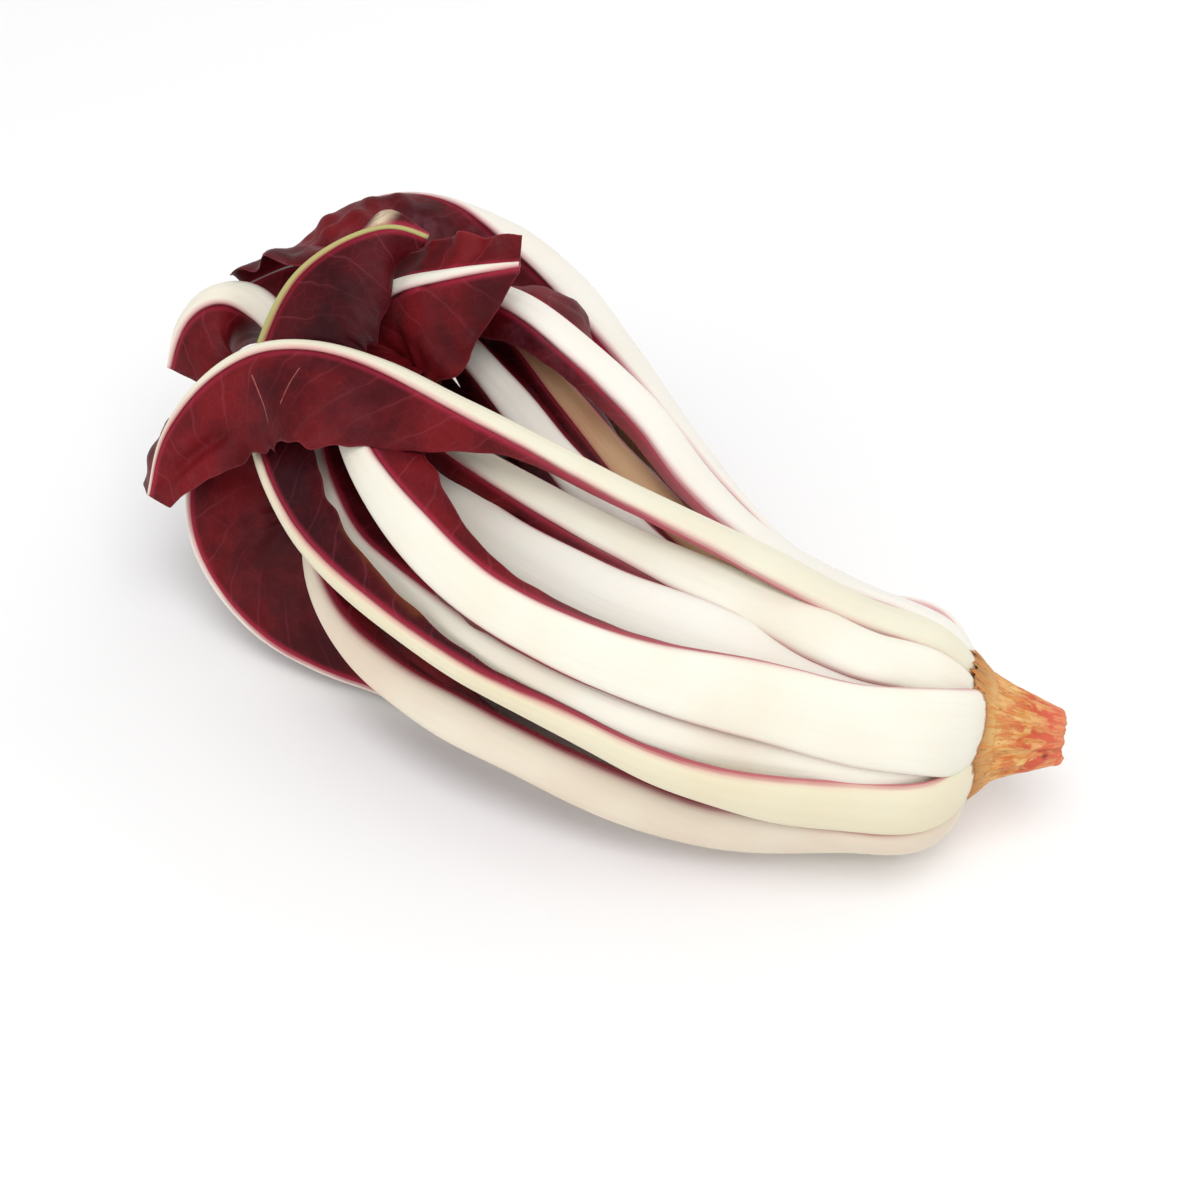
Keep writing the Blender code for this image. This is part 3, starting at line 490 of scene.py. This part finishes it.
class Board:
    """A material's node tree with short ways to add and join nodes."""

    def __init__(self, name: str) -> None:
        """Makes the material, whose shader is a Principled BSDF."""
        self.material = bpy.data.materials.new(name)
        self.material.use_nodes = True
        self.tree = self.material.node_tree
        self.shader = self.tree.nodes["Principled BSDF"]

    def put(self, kind: str, inputs: dict[object, object] | None = None,
            **settings: object) -> bpy.types.Node:
        """Adds a node.

        Args:
            kind: the node's type, without the leading ShaderNode.
            inputs: sockets, by name or number, each to a value or another node's output.
            settings: the node's own settings.

        Returns:
            The node.
        """
        node = self.tree.nodes.new("ShaderNode" + kind)
        for key, value in settings.items():
            setattr(node, key, value)
        for key, value in (inputs or {}).items():
            if isinstance(value, Socket):
                self.tree.links.new(value, node.inputs[key])
            else:
                node.inputs[key].default_value = value
        return node

    def feed(self, socket: str, value: Socket) -> None:
        """Joins an output to one of the shader's sockets."""
        self.tree.links.new(value, self.shader.inputs[socket])

    def math(self, operation: str, *values: object) -> Socket:
        """The result of a Math node."""
        return self.put("Math", dict(enumerate(values)), operation=operation).outputs[0]

    def times(self, first: object, second: object) -> Socket:
        """The product of two values."""
        return self.math("MULTIPLY", first, second)

    def plus(self, first: object, second: object) -> Socket:
        """The sum of two values."""
        return self.math("ADD", first, second)

    def minus(self, first: object, second: object) -> Socket:
        """The first value less the second."""
        return self.math("SUBTRACT", first, second)

    def ramp(self, value: object, low: float, high: float, bottom: float = 0.0, top: float = 1.0) -> Socket:
        """A smooth step: bottom where value is at low, top where it is at high."""
        return self.put("MapRange", {0: value, 1: low, 2: high, 3: bottom, 4: top},
                        interpolation_type="SMOOTHSTEP").outputs[0]

    def mix(self, share: object, first: object, second: object, blend: str = "MIX") -> Socket:
        """A colour between two colours."""
        first, second = ((*c, 1.0) if isinstance(c, tuple) and len(c) == 3 else c for c in (first, second))
        node = self.put("Mix", {0: share, 6: first, 7: second}, data_type="RGBA", blend_type=blend)
        return node.outputs[2]

    def segment(self, x: object, y: object, x0: float, y0: float, x1: float, y1: float) -> Socket:
        """The distance of (x, y) from the straight line between two points."""
        run = ((x1 - x0) ** 2 + (y1 - y0) ** 2) or 1.0
        dx, dy = self.minus(x, x0), self.minus(y, y0)
        dot = self.plus(self.times(dx, (x1 - x0) / run), self.times(dy, (y1 - y0) / run))
        part = self.math("MINIMUM", self.math("MAXIMUM", dot, 0.0), 1.0)
        ex = self.minus(dx, self.times(part, x1 - x0))
        ey = self.minus(dy, self.times(part, y1 - y0))
        return self.math("SQRT", self.plus(self.times(ex, ex), self.times(ey, ey)))

    def noise(self, vector: object, scale: float, detail: float = 3.0, rough: float = 0.55,
              distortion: float = 0.0) -> Socket:
        """A Noise texture's value at a vector."""
        return self.put("TexNoise", {"Vector": vector, "Scale": scale, "Detail": detail, "Roughness": rough,
                                     "Distortion": distortion}).outputs[0]

    def value(self, name: str) -> Socket:
        """A mesh attribute's value."""
        return self.put("Attribute", attribute_name=name).outputs["Fac"]

    def scaled(self, vector: object, by: tuple[float, float, float]) -> Socket:
        """A vector stretched along its axes."""
        return self.put("VectorMath", {0: vector, 1: by}, operation="MULTIPLY").outputs[0]


class LeafFinish:
    """Turns a tone into a material: a waxy pale rib, a thin red line at its edge, a veined crimson blade."""

    VEIN_SPACING = 9.0
    VEIN_SLANT = 0.85
    made: dict[str, bpy.types.Material] = {}

    @classmethod
    def of(cls, tone: Tone) -> bpy.types.Material:
        """The tone's material, made once."""
        if tone.name not in cls.made:
            cls.made[tone.name] = cls.build(tone)
        return cls.made[tone.name]

    @classmethod
    def build(cls, tone: Tone) -> bpy.types.Material:
        """Builds the node tree.

        Args:
            tone: the colours.

        Returns:
            The material.
        """
        board = Board(tone.name)
        place = board.put("TexCoord").outputs["Object"]
        run = board.put("UVMap", uv_map="run").outputs[0]
        edge, rim, along = board.value("edge"), board.value("rim"), board.value("along")

        patches = board.noise(place, 38.0, 2.0)
        fibres = board.noise(board.scaled(run, (6.0, 160.0, 1.0)), 1.0, 3.0)
        rib = board.mix(board.ramp(patches, 0.35, 0.75), tone.rib, tone.rib_shade)
        rib = board.mix(board.ramp(fibres, 0.45, 0.8, 0.0, 0.35), rib, tone.rib_shade)
        if tone.green:
            tip = board.ramp(along, 165.0, 190.0, 0.0, 0.85 * tone.green)
            rib = board.mix(tip, rib, (0.36, 0.40, 0.09))
        flush = board.times(board.ramp(edge, -0.9, 0.15), board.ramp(along, 12.0, 90.0, 0.15, 0.55))
        rib = board.mix(board.times(flush, board.ramp(patches, 0.3, 0.6, 0.3, 1.0)), rib, (0.60, 0.12, 0.18))

        cloud = board.noise(place, 60.0, 4.0)
        body = board.mix(board.ramp(cloud, 0.32, 0.68), tone.deep, tone.bright)
        streak = board.noise(board.scaled(run, (22.0, 60.0, 1.0)), 1.0, 4.0, 0.6, 0.6)
        body = board.mix(board.ramp(streak, 0.5, 0.8, 0.0, 0.45), body, tone.deep)
        near = board.ramp(edge, 0.0, 1.7, 1.0, 0.0)
        body = board.mix(board.times(near, 0.8), body, (0.42, 0.025, 0.060))
        wander = board.noise(board.scaled(run, (9.0, 9.0, 1.0)), 1.0, 2.0)
        slant = board.minus(board.plus(along, board.times(wander, 7.0)),
                           board.times(edge, cls.VEIN_SLANT))
        gap = board.math("ABSOLUTE", board.minus(board.math("FRACT", board.math(
            "DIVIDE", slant, cls.VEIN_SPACING)), 0.5))
        vein = board.times(board.ramp(gap, 0.0, 0.06, 1.0, 0.0), board.ramp(edge, 1.0, 16.0, 0.20, 0.04))
        net = board.put("TexVoronoi", {"Vector": board.scaled(run, (26.0, 34.0, 1.0)), "Scale": 1.0},
                        feature="DISTANCE_TO_EDGE").outputs["Distance"]
        mesh = board.times(board.ramp(net, 0.0, 0.05, 1.0, 0.0), 0.07)
        lines = board.times(board.math("MAXIMUM", vein, mesh), board.ramp(cloud, 0.3, 0.6, 0.35, 1.0))
        body = board.mix(lines, body, (0.34, 0.065, 0.095))
        # dusty film and painted sheen: the blade drifts to the pale film colour in soft patches, over the
        # tone's share
        dust_and_sheen = board.times(board.ramp(board.noise(place, 90.0, 5.0, 0.65), 0.46, 0.72), tone.haze_and_sheen)
        body = board.mix(dust_and_sheen, body, tone.bloom_and_sheen)
        body = board.mix(board.times(board.ramp(rim, 0.0, 0.5, 1.0, 0.0), 0.3), body, (0.26, 0.04, 0.06))
        for side, start, start_edge, end, end_edge, reach, *colour in tone.marks:
            off = board.segment(along, edge, start, start_edge, end, end_edge)
            spot = board.times(board.ramp(off, 0.0, reach, 0.9, 0.0),
                              board.math("GREATER_THAN", board.times(board.value("side"), side), 0.5))
            body = board.mix(board.times(spot, board.ramp(streak, 0.25, 0.6, 0.3, 1.0)), body, tuple(colour))
        body = board.mix(board.ramp(along, 10.0, 105.0, 0.92, 0.0), body, (0.62, 0.24, 0.26))

        jitter = board.noise(board.scaled(run, (5.0, 30.0, 1.0)), 1.0, 2.0)
        bound = board.ramp(board.plus(edge, board.times(board.minus(jitter, 0.5), 0.5)),
                           -0.22, 0.22)
        torn = board.plus(along, board.times(board.noise(board.scaled(run, (20.0, 90.0, 1.0)), 1.0), 3.2))
        skin = board.mix(bound, rib, body)
        board.feed("Base Color", board.mix(board.ramp(torn, 2.2, 3.4, 0.9, 0.0), skin, (0.42, 0.16, 0.035)))
        rough = board.ramp(cloud, 0.3, 0.7, 0.34, 0.48)
        board.feed("Roughness", board.plus(rough, board.times(bound, 0.08)))
        ridges = board.times(fibres, board.minus(1.0, bound))
        height = board.plus(board.times(ridges, 0.5),
                            board.times(bound, board.plus(lines, board.times(streak, 0.5))))
        grain = board.plus(height, board.times(board.noise(place, 900.0, 2.0), 0.12))
        bump = board.put("Bump", {"Strength": 0.25, "Distance": 0.0004, "Height": grain})
        board.feed("Normal", bump.outputs[0])
        board.shader.inputs["Subsurface Weight"].default_value = 0.12
        board.shader.inputs["Subsurface Radius"].default_value = (1.0, 0.45, 0.3)
        board.shader.inputs["Subsurface Scale"].default_value = 0.0025
        board.shader.inputs["Specular IOR Level"].default_value = 0.12
        return board.material


@dataclass
class Leaf:
    """One leaf as a closed surface.

    A loop runs over the left blade's outer face, the rib's rounded back and the right blade's outer face, and
    returns along the inner faces. The loop is carried along the rib's route.

    Args:
        plan: the leaf's plan.
        seed: seed of its waves and crumples.
        blade_points: points across a blade's face.
        back_points: points across the rib's back.
        belly_points: points across the rib's inner face.
        thickness: the blade's thickness at the rib, mm.
        margin_thickness: and at its margin.
    """

    plan: LeafPlan
    seed: int
    blade_points: int = 22
    back_points: int = 23
    belly_points: int = 9
    thickness: float = 0.62
    margin_thickness: float = 0.30
    FAR_FROM_MARGIN = 9.0
    RIB_RISE = 0.62
    RIB_SINK = 0.38

    def spine(self, count: int) -> tuple[np.ndarray, np.ndarray, np.ndarray]:
        """The rib's stations and the directions of its back and of its right side.

        Args:
            count: how many stations.

        Returns:
            Points, back directions and sideways directions.
        """
        plan = self.plan
        foot = [ring_point(CROWN + share * (BULGE - CROWN), radius, plan.angle)
                for share, radius in plan.whorl.value]
        points = smoothed(through(np.array([*foot, *plan.route], float), count), count * 0.010)
        tangent = unit(np.gradient(points, axis=0))
        outward = ring_point(np.zeros(3), 1.0, plan.angle)
        keys = [(0.0, *(outward + np.array([1.0, 0, 0]))), (0.12, *outward), *plan.facing]
        if not plan.facing:
            keys.append((1.0, *outward))
        keys = [(key[0], *unit(np.array(key[1:]))) for key in keys]
        back = keyed(tuple(keys), np.linspace(0, 1, count), count * 0.02)
        back = unit(back - (back * tangent).sum(1, keepdims=True) * tangent)
        return points, back, np.cross(tangent, back)

    def blade_line(self, shape: Blade, shares: np.ndarray, along: np.ndarray,
                   side: int) -> tuple[np.ndarray, ...]:
        """A blade's middle surface across each station, as sideways and backward distances from the rib.

        The direction across is turned from sideways towards the inside by fold plus curl times the share
        across, and the point is the running sum of that direction. Waves push it along its own normal: a sine
        along the margin that grows with the square of the share across, the puffed strips between side veins,
        crumples towards the tip, and creases as valleys with a bell-shaped section.

        Args:
            shape: the blade's keys.
            shares: the stations' shares of the length.
            along: the stations' distance along the rib, mm.
            side: -1 for left, 1 for right.

        Returns:
            Sideways and backward offset, the normal's two parts, distance from the rib and from the margin.
        """
        width, fold, curl = keyed(shape.keys, shares, len(shares) * 0.012).T[:, :, None]
        noise = SmoothNoise(self.seed * 7 + side, 9.0)
        margin = np.stack([along, np.full_like(along, side * 31.0), np.zeros_like(along)], axis=1)
        width = np.maximum(width, 0.5) * (1 + 0.03 * noise.at(margin)[:, None])
        t = np.linspace(0, 1, self.blade_points)[None, :] ** 0.9
        turn = np.radians(fold + curl * t)
        step = np.diff(t, axis=1, prepend=0) * width
        sideways, backward = np.cumsum(np.cos(turn) * step, axis=1), np.cumsum(-np.sin(turn) * step, axis=1)
        across = t * width
        open_share = np.clip((width - 3.0) / 10.0, 0, 1)
        phase = 2 * np.pi * along[:, None] / shape.wave + self.seed
        wave = shape.ruffle * np.sin(phase + 0.8 * noise.at(margin * 0.35)[:, None]) * t**2
        strip = (along[:, None] - LeafFinish.VEIN_SLANT * across) / LeafFinish.VEIN_SPACING
        puff = 0.16 * np.abs(np.sin(np.pi * strip)) ** 0.7 * np.sin(np.pi * np.clip(t, 0, 1)) ** 0.6
        lanes = side * (across + 5.0)
        spots = np.stack(np.broadcast_arrays(along[:, None] * 1.0, lanes, np.zeros((1, 1))), axis=-1)
        crumple = shape.crumple * SmoothNoise(self.seed * 11 + side, 7.5).at(spots)
        crumple = crumple * (0.25 + 0.75 * shares[:, None] ** 3)
        fine = 0.05 * SmoothNoise(self.seed * 13 + side, 2.6).at(spots)
        lift = open_share * (wave + puff + (crumple + fine) * t**0.7)
        for start, start_t, end, end_t, depth, half_width in shape.creases:
            length = (end - start) * along[-1]
            part = np.clip((along[:, None] - start * along[-1]) / length, 0, 1)
            valley = np.exp(-((t - start_t - (end_t - start_t) * part) * width / half_width) ** 2)
            lift = lift - depth * valley * np.sin(np.pi * part) ** 0.7
        normal = np.sin(turn), np.cos(turn)
        return (sideways + normal[0] * lift, backward + normal[1] * lift, *normal, across, width - across)

    def build(self) -> bpy.types.Object:
        """The leaf's object, dressed in its tone."""
        plan = self.plan
        count = 250 if plan.fine else 150
        shares = np.linspace(0, 1, count)
        points, back, sideways = self.spine(count)
        along = np.concatenate([[0], np.cumsum(np.linalg.norm(np.diff(points, axis=0), axis=1))])
        width = keyed(plan.widths, shares, count * 0.012)[:, 0]
        swell = SmoothNoise(self.seed + 40, 26.0).at(points)
        half = (0.5 * np.maximum(width, 0.6) * (1 + 0.03 * swell))[:, None]
        depth = 1.2 * np.minimum(half, 0.8) + 0.28 * 2 * half
        thick = 0.5 * np.minimum(self.thickness, half)

        theta = np.linspace(np.pi, 0, self.back_points)[None, :]
        back_x = half * np.cos(theta)
        ridge = 0.05 * np.sin(9 * theta + 0.6 * swell[:, None]) * np.sin(theta) ** 2 * np.minimum(half / 3, 1)
        back_y = 0.4 * thick + self.RIB_RISE * depth * np.abs(np.sin(theta)) ** 0.82 + ridge
        phi = np.linspace(0, np.pi, self.belly_points + 2)[None, 1:-1]
        belly_x = np.maximum(half - 2 * thick, 0.3 * half) * np.cos(phi)
        belly_y = -self.RIB_SINK * depth * np.abs(np.sin(phi)) ** 0.6

        parts = {}
        for side, shape in ((-1, plan.left), (1, plan.right)):
            off, rise, nx, ny, across, rest = self.blade_line(shape, shares, along, side)
            t = across / (across + rest)
            body = 0.5 * (self.thickness + (self.margin_thickness - self.thickness) * t)
            body = body * np.minimum(half / 0.5, 1)
            body = body * np.sqrt(np.clip(1 - t**10, 0.04, 1))
            x, y = half - thick + off, rise
            parts[side, "outer"] = (side * (x + nx * body), y + ny * body, across, rest)
            parts[side, "inner"] = (side * (x - nx * body), y - ny * body, across, rest)

        def flipped(part: tuple[np.ndarray, ...]) -> tuple[np.ndarray, ...]:
            """The part's columns in the opposite order."""
            return tuple(values[:, ::-1] for values in part)

        full = np.broadcast_to
        back_part = (back_x, back_y, np.abs(back_x) - half, full(self.FAR_FROM_MARGIN, back_x.shape))
        belly_part = (full(belly_x, (count, self.belly_points)), full(belly_y, (count, self.belly_points)),
                      np.abs(belly_x) - half, full(self.FAR_FROM_MARGIN, (count, self.belly_points)))
        loop = (flipped(parts[-1, "outer"]), back_part, parts[1, "outer"], flipped(parts[1, "inner"]),
                belly_part, parts[-1, "inner"])
        x, y, edge, rim = (np.concatenate([part[k] for part in loop], axis=1) for k in range(4))
        grid = points[:, None] + x[..., None] * sideways[:, None] + y[..., None] * back[:, None]
        grid = grid * MM + PLACE
        grid[..., 2] = FLOOR_Z + np.logaddexp(0, (grid[..., 2] - FLOOR_Z) / FLOOR_SOFTNESS) * FLOOR_SOFTNESS
        lanes = np.concatenate([np.sign(part[0]) * (half + part[2]) for part in loop], axis=1)
        run = np.stack([np.broadcast_to(along[:, None], x.shape), lanes], axis=-1) * 0.01
        run[..., 0] += 0.37 * self.seed
        blade, back_count = self.blade_points, self.back_points
        side = np.repeat([-1.0, 0, 1, 1, 0, -1], [blade, back_count, blade, blade, self.belly_points, blade])
        attributes = {"edge": edge, "rim": rim, "along": np.broadcast_to(along[:, None], x.shape),
                      "side": np.broadcast_to(side, x.shape)}
        obj = put_mesh(plan.node + "_tissue", grid, attributes, run)
        obj.data.materials.append(LeafFinish.of(plan.tone))
        return obj


class RootFinish:
    """Pared root tissue: orange and straw streaks, red towards the cut end, brown fibres at the collar."""

    @staticmethod
    def build() -> bpy.types.Material:
        """The root's material."""
        board = Board("pared_root")
        run = board.put("UVMap", uv_map="run").outputs[0]
        place = board.put("TexCoord").outputs["Object"]
        along = board.value("along")
        streak = board.noise(board.scaled(run, (1.6, 8.0, 1.0)), 1.0, 5.0, 0.65, 0.4)
        broad = board.noise(board.scaled(run, (2.6, 2.4, 1.0)), 1.0, 3.0, 0.6, 0.5)
        flecks = board.noise(board.scaled(run, (6.0, 9.0, 1.0)), 1.0, 4.0, 0.7)
        colour = board.mix(board.ramp(streak, 0.35, 0.62), (0.66, 0.24, 0.045), (0.82, 0.52, 0.20))
        red = board.times(board.ramp(along, 1.0, 12.0, 0.1, 1.0), board.ramp(broad, 0.44, 0.58))
        colour = board.mix(red, colour, (0.62, 0.085, 0.030))
        colour = board.mix(board.ramp(along, 8.0, 16.0, 0.0, 0.62), colour, (0.80, 0.19, 0.11))
        dark = board.times(board.ramp(flecks, 0.56, 0.66), board.ramp(along, 0.0, 13.0, 0.85, 0.35))
        colour = board.mix(dark, colour, (0.25, 0.070, 0.020))
        hem = board.times(board.ramp(along, -1.0, 4.5, 0.85, 0.0), board.ramp(streak, 0.4, 0.6, 0.2, 1.0))
        colour = board.mix(hem, colour, (0.30, 0.105, 0.025))
        pit = board.segment(along, board.value("turn"), 13.2, 0.10, 13.2, 0.12)
        colour = board.mix(board.ramp(pit, 0.0, 0.9, 0.85, 0.0), colour, (0.10, 0.02, 0.01))
        board.feed("Base Color", colour)
        board.feed("Roughness", board.ramp(streak, 0.3, 0.7, 0.5, 0.75))
        height = board.plus(streak, board.times(board.noise(place, 700.0, 3.0), 0.4))
        bump = board.put("Bump", {"Strength": 0.6, "Distance": 0.0008, "Height": height})
        board.feed("Normal", bump.outputs[0])
        board.shader.inputs["Specular IOR Level"].default_value = 0.35
        return board.material


@dataclass
class Root:
    """The pared root stub with the crown it carries: rings round the head's axis.

    Args:
        profile: (distance past the collar, radius) from the crown's inner end to the cut end, mm.
        facets: flats left by the knife.
        around: points round a ring.
    """

    profile: Keys = ((-17.2, 0.4), (-12.5, 3.0), (-7.8, 6.4), (-5.2, 7.6), (-3.4, 9.8), (-1.4, 11.6),
                     (0.4, 11.6), (3.0, 10.0), (6.5, 8.4), (10.5, 7.0), (14.0, 5.7), (15.6, 5.1), (16.2, 4.5),
                     (16.4, 0.3))
    facets: int = 9
    around: int = 160
    seed: int = 5

    def build(self) -> bpy.types.Object:
        """The root's object: radius = profile x (1 + facet term) + streaks, on rings along the axis."""
        table = np.array(self.profile)
        fine = through(np.stack([table[:, 0], table[:, 1], np.zeros(len(table))], axis=1), 120)
        height, radius = fine[:, 0][:, None], np.maximum(fine[:, 1], 0.2)[:, None]
        turn = np.linspace(-0.5 * np.pi, 1.5 * np.pi, self.around, endpoint=False)[None, :]
        bare = np.clip((height + 1) / 4, 0, 1)
        sector = 2 * np.pi / self.facets
        off = (turn + 0.25 * np.sin(2 * turn) + 0.012 * height) % sector - sector / 2
        flat = (np.cos(sector / 2) / np.cos(off) - 0.5 * (1 + np.cos(sector / 2))) * 1.2
        ring = np.stack(np.broadcast_arrays(8 * np.cos(turn), 8 * np.sin(turn), height * 0.16), axis=-1)
        streaks = 0.16 * SmoothNoise(self.seed, 2.6).at(ring)
        streaks = streaks + 0.22 * SmoothNoise(self.seed + 1, 7.0).at(ring)
        size = radius * (1 + bare * flat) + bare * streaks * np.minimum(radius / 4, 1)
        side = np.array([HEAD_AXIS[1], -HEAD_AXIS[0], 0.0])
        up = np.array([0.0, 0.0, 1.0])
        grain = 0.25 * SmoothNoise(self.seed + 2, 3.0).at(ring * np.minimum(radius / 4, 1)[..., None])
        lean = np.where(height > 15.0, grain, 0.0)
        grid = (CROWN + (height + lean)[..., None] * HEAD_AXIS
                + (size * np.cos(turn))[..., None] * side + (size * np.sin(turn))[..., None] * up)
        run = np.stack(np.broadcast_arrays(height, turn * 8.0 / (2 * np.pi)), axis=-1) * np.array([0.1, 1.0])
        attributes = {"along": np.broadcast_to(height, size.shape),
                      "turn": np.broadcast_to(turn * 6.0, size.shape)}
        obj = put_mesh("root_stub", grid * MM + PLACE, attributes, run)
        obj.data.materials.append(RootFinish.build())
        return obj


@dataclass
class CollarFringe:
    """The ragged brown hem where the leaves were broken off round the collar: a thin skirt with torn teeth.

    Args:
        teeth: about how many teeth go round.
        tooth: how far they reach over the leaf bases, mm.
        inner: (distance past the collar, radius) of the skirt's hem on the root, mm.
        outer: the same for the torn edge.
    """

    teeth: int = 46
    tooth: float = 1.9
    inner: tuple[float, float] = (3.4, 9.8)
    outer: tuple[float, float] = (-0.4, 14.0)
    around: int = 720
    across: int = 10

    def build(self) -> bpy.types.Object:
        """The fringe's object: at each turn a thin loop from hem to edge, its reach a sawtooth x noise."""
        turn = np.linspace(-0.5 * np.pi, 1.5 * np.pi, self.around, endpoint=False)[:, None]
        circle = np.concatenate([np.cos(turn), np.sin(turn), np.zeros_like(turn)], axis=1)
        wide = SmoothNoise(71, 0.5).at(circle)[:, None]
        phase = self.teeth * turn / (2 * np.pi) + 0.9 * wide
        teeth = (1 - np.abs(2 * (phase % 1) - 1)) ** 1.2
        reach = self.tooth * (0.35 + 0.65 * teeth) * (1 + 0.5 * SmoothNoise(72, 0.22).at(circle)[:, None])
        share = np.concatenate([np.linspace(0, 1, self.across), np.linspace(1, 0, self.across)])[None, :]
        skin = np.repeat([1.0, -1.0], self.across)[None, :] * (0.28 - 0.20 * share)
        height = self.inner[0] + (self.outer[0] - self.inner[0]) * share - reach * share**2
        radius = self.inner[1] + (self.outer[1] - self.inner[1]) * share + 0.45 * reach * share**2
        ripple = 0.16 * SmoothNoise(73, 0.12).at(circle)[:, None] + 0.12 * np.sin(9 * share + 3 * wide)
        radius = radius + skin + ripple * share
        side = np.array([HEAD_AXIS[1], -HEAD_AXIS[0], 0.0])
        up = np.array([0.0, 0.0, 1.0])
        grid = (CROWN + height[..., None] * HEAD_AXIS + (radius * np.cos(turn))[..., None] * side
                + (radius * np.sin(turn))[..., None] * up)
        run = np.stack([height * 0.1, np.broadcast_to(turn * 8.0 / (2 * np.pi), height.shape)], axis=-1)
        attributes = {"along": height, "turn": np.broadcast_to(turn * 6.0, height.shape)}
        obj = put_mesh("collar_fringe", grid * MM + PLACE, attributes, run, looped=True)
        obj.data.materials.append(bpy.data.materials["pared_root"])
        return obj


@dataclass
class Studio:
    """Floor, soft lights and the camera."""

    azimuth: float = 28.0
    elevation: float = 45.0
    distance: float = 0.595
    aim: tuple[float, float, float] = (0.0, 0.020, 0.0)
    lens: float = 85.0

    def build(self) -> None:
        """Adds the floor, the lights, the sky and the camera."""
        self.floor()
        self.lamp("key", (0.25, -0.35, 0.95), 0.6, 4.8)
        self.lamp("fill", (-0.55, -0.75, 0.45), 0.6, 1.2)
        self.lamp("rear", (0.3, 0.8, 0.6), 0.6, 1.6)
        world = bpy.data.worlds.new("sky")
        bpy.context.scene.world = world
        world.use_nodes = True
        world.node_tree.nodes["Background"].inputs[0].default_value = (1.0, 1.0, 1.0, 1.0)
        world.node_tree.nodes["Background"].inputs[1].default_value = 0.66
        turn, lift = np.radians(self.azimuth), np.radians(self.elevation)
        back = Vector((np.sin(turn) * np.cos(lift), -np.cos(turn) * np.cos(lift), np.sin(lift)))
        camera = bpy.data.objects.new("camera", bpy.data.cameras.new("camera"))
        camera.data.lens, camera.data.sensor_width = self.lens, 36.0
        camera.location = Vector(self.aim) + Vector(PLACE) + back * self.distance
        camera.rotation_euler = (-back).to_track_quat("-Z", "Y").to_euler()
        bpy.context.scene.collection.objects.link(camera)
        bpy.context.scene.camera = camera
        bpy.context.scene.view_settings.view_transform = "Standard"

    def floor(self) -> None:
        """A wide pale table top just under the head."""
        side = np.array([[-1, -1, 0], [1, -1, 0], [1, 1, 0], [-1, 1, 0]]) * 3.0
        mesh = bpy.data.meshes.new("floor")
        mesh.from_pydata(side.tolist(), [], [(0, 1, 2, 3)])
        obj = bpy.data.objects.new("floor", mesh)
        bpy.context.scene.collection.objects.link(obj)
        board = Board("pale_floor")
        board.shader.inputs["Base Color"].default_value = (0.95, 0.95, 0.95, 1.0)
        board.shader.inputs["Roughness"].default_value = 0.9
        obj.data.materials.append(board.material)

    def lamp(self, name: str, place: tuple[float, float, float], size: float, power: float) -> None:
        """A square soft lamp aimed at the head.

        Args:
            name: its name.
            place: where it stands, m.
            size: its side, m.
            power: in watts.
        """
        data = bpy.data.lights.new(name, "AREA")
        data.size, data.energy = size, power
        obj = bpy.data.objects.new(name, data)
        obj.location = place
        obj.rotation_euler = (Vector((0, 0, 0.04)) - Vector(place)).to_track_quat("-Z", "Y").to_euler()
        bpy.context.scene.collection.objects.link(obj)


def main() -> None:
    """Builds root, leaves and studio in order, and hands each piece to the frame."""
    logging.basicConfig(level=logging.INFO, format="%(message)s")
    stub = Root().build()
    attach(stub, "root")
    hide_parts("root")
    LOG.info("root: %d points", len(stub.data.vertices))
    fringe = CollarFringe().build()
    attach(fringe, "root")
    LOG.info("fringe: %d points", len(fringe.data.vertices))
    for seed, plan in enumerate(LEAVES, start=1):
        leaf = Leaf(plan, seed).build()
        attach(leaf, "root")
        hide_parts(plan.node)
        LOG.info("%s: %d points", plan.node, len(leaf.data.vertices))
    Studio().build()


if __name__ == "__main__":
    main()
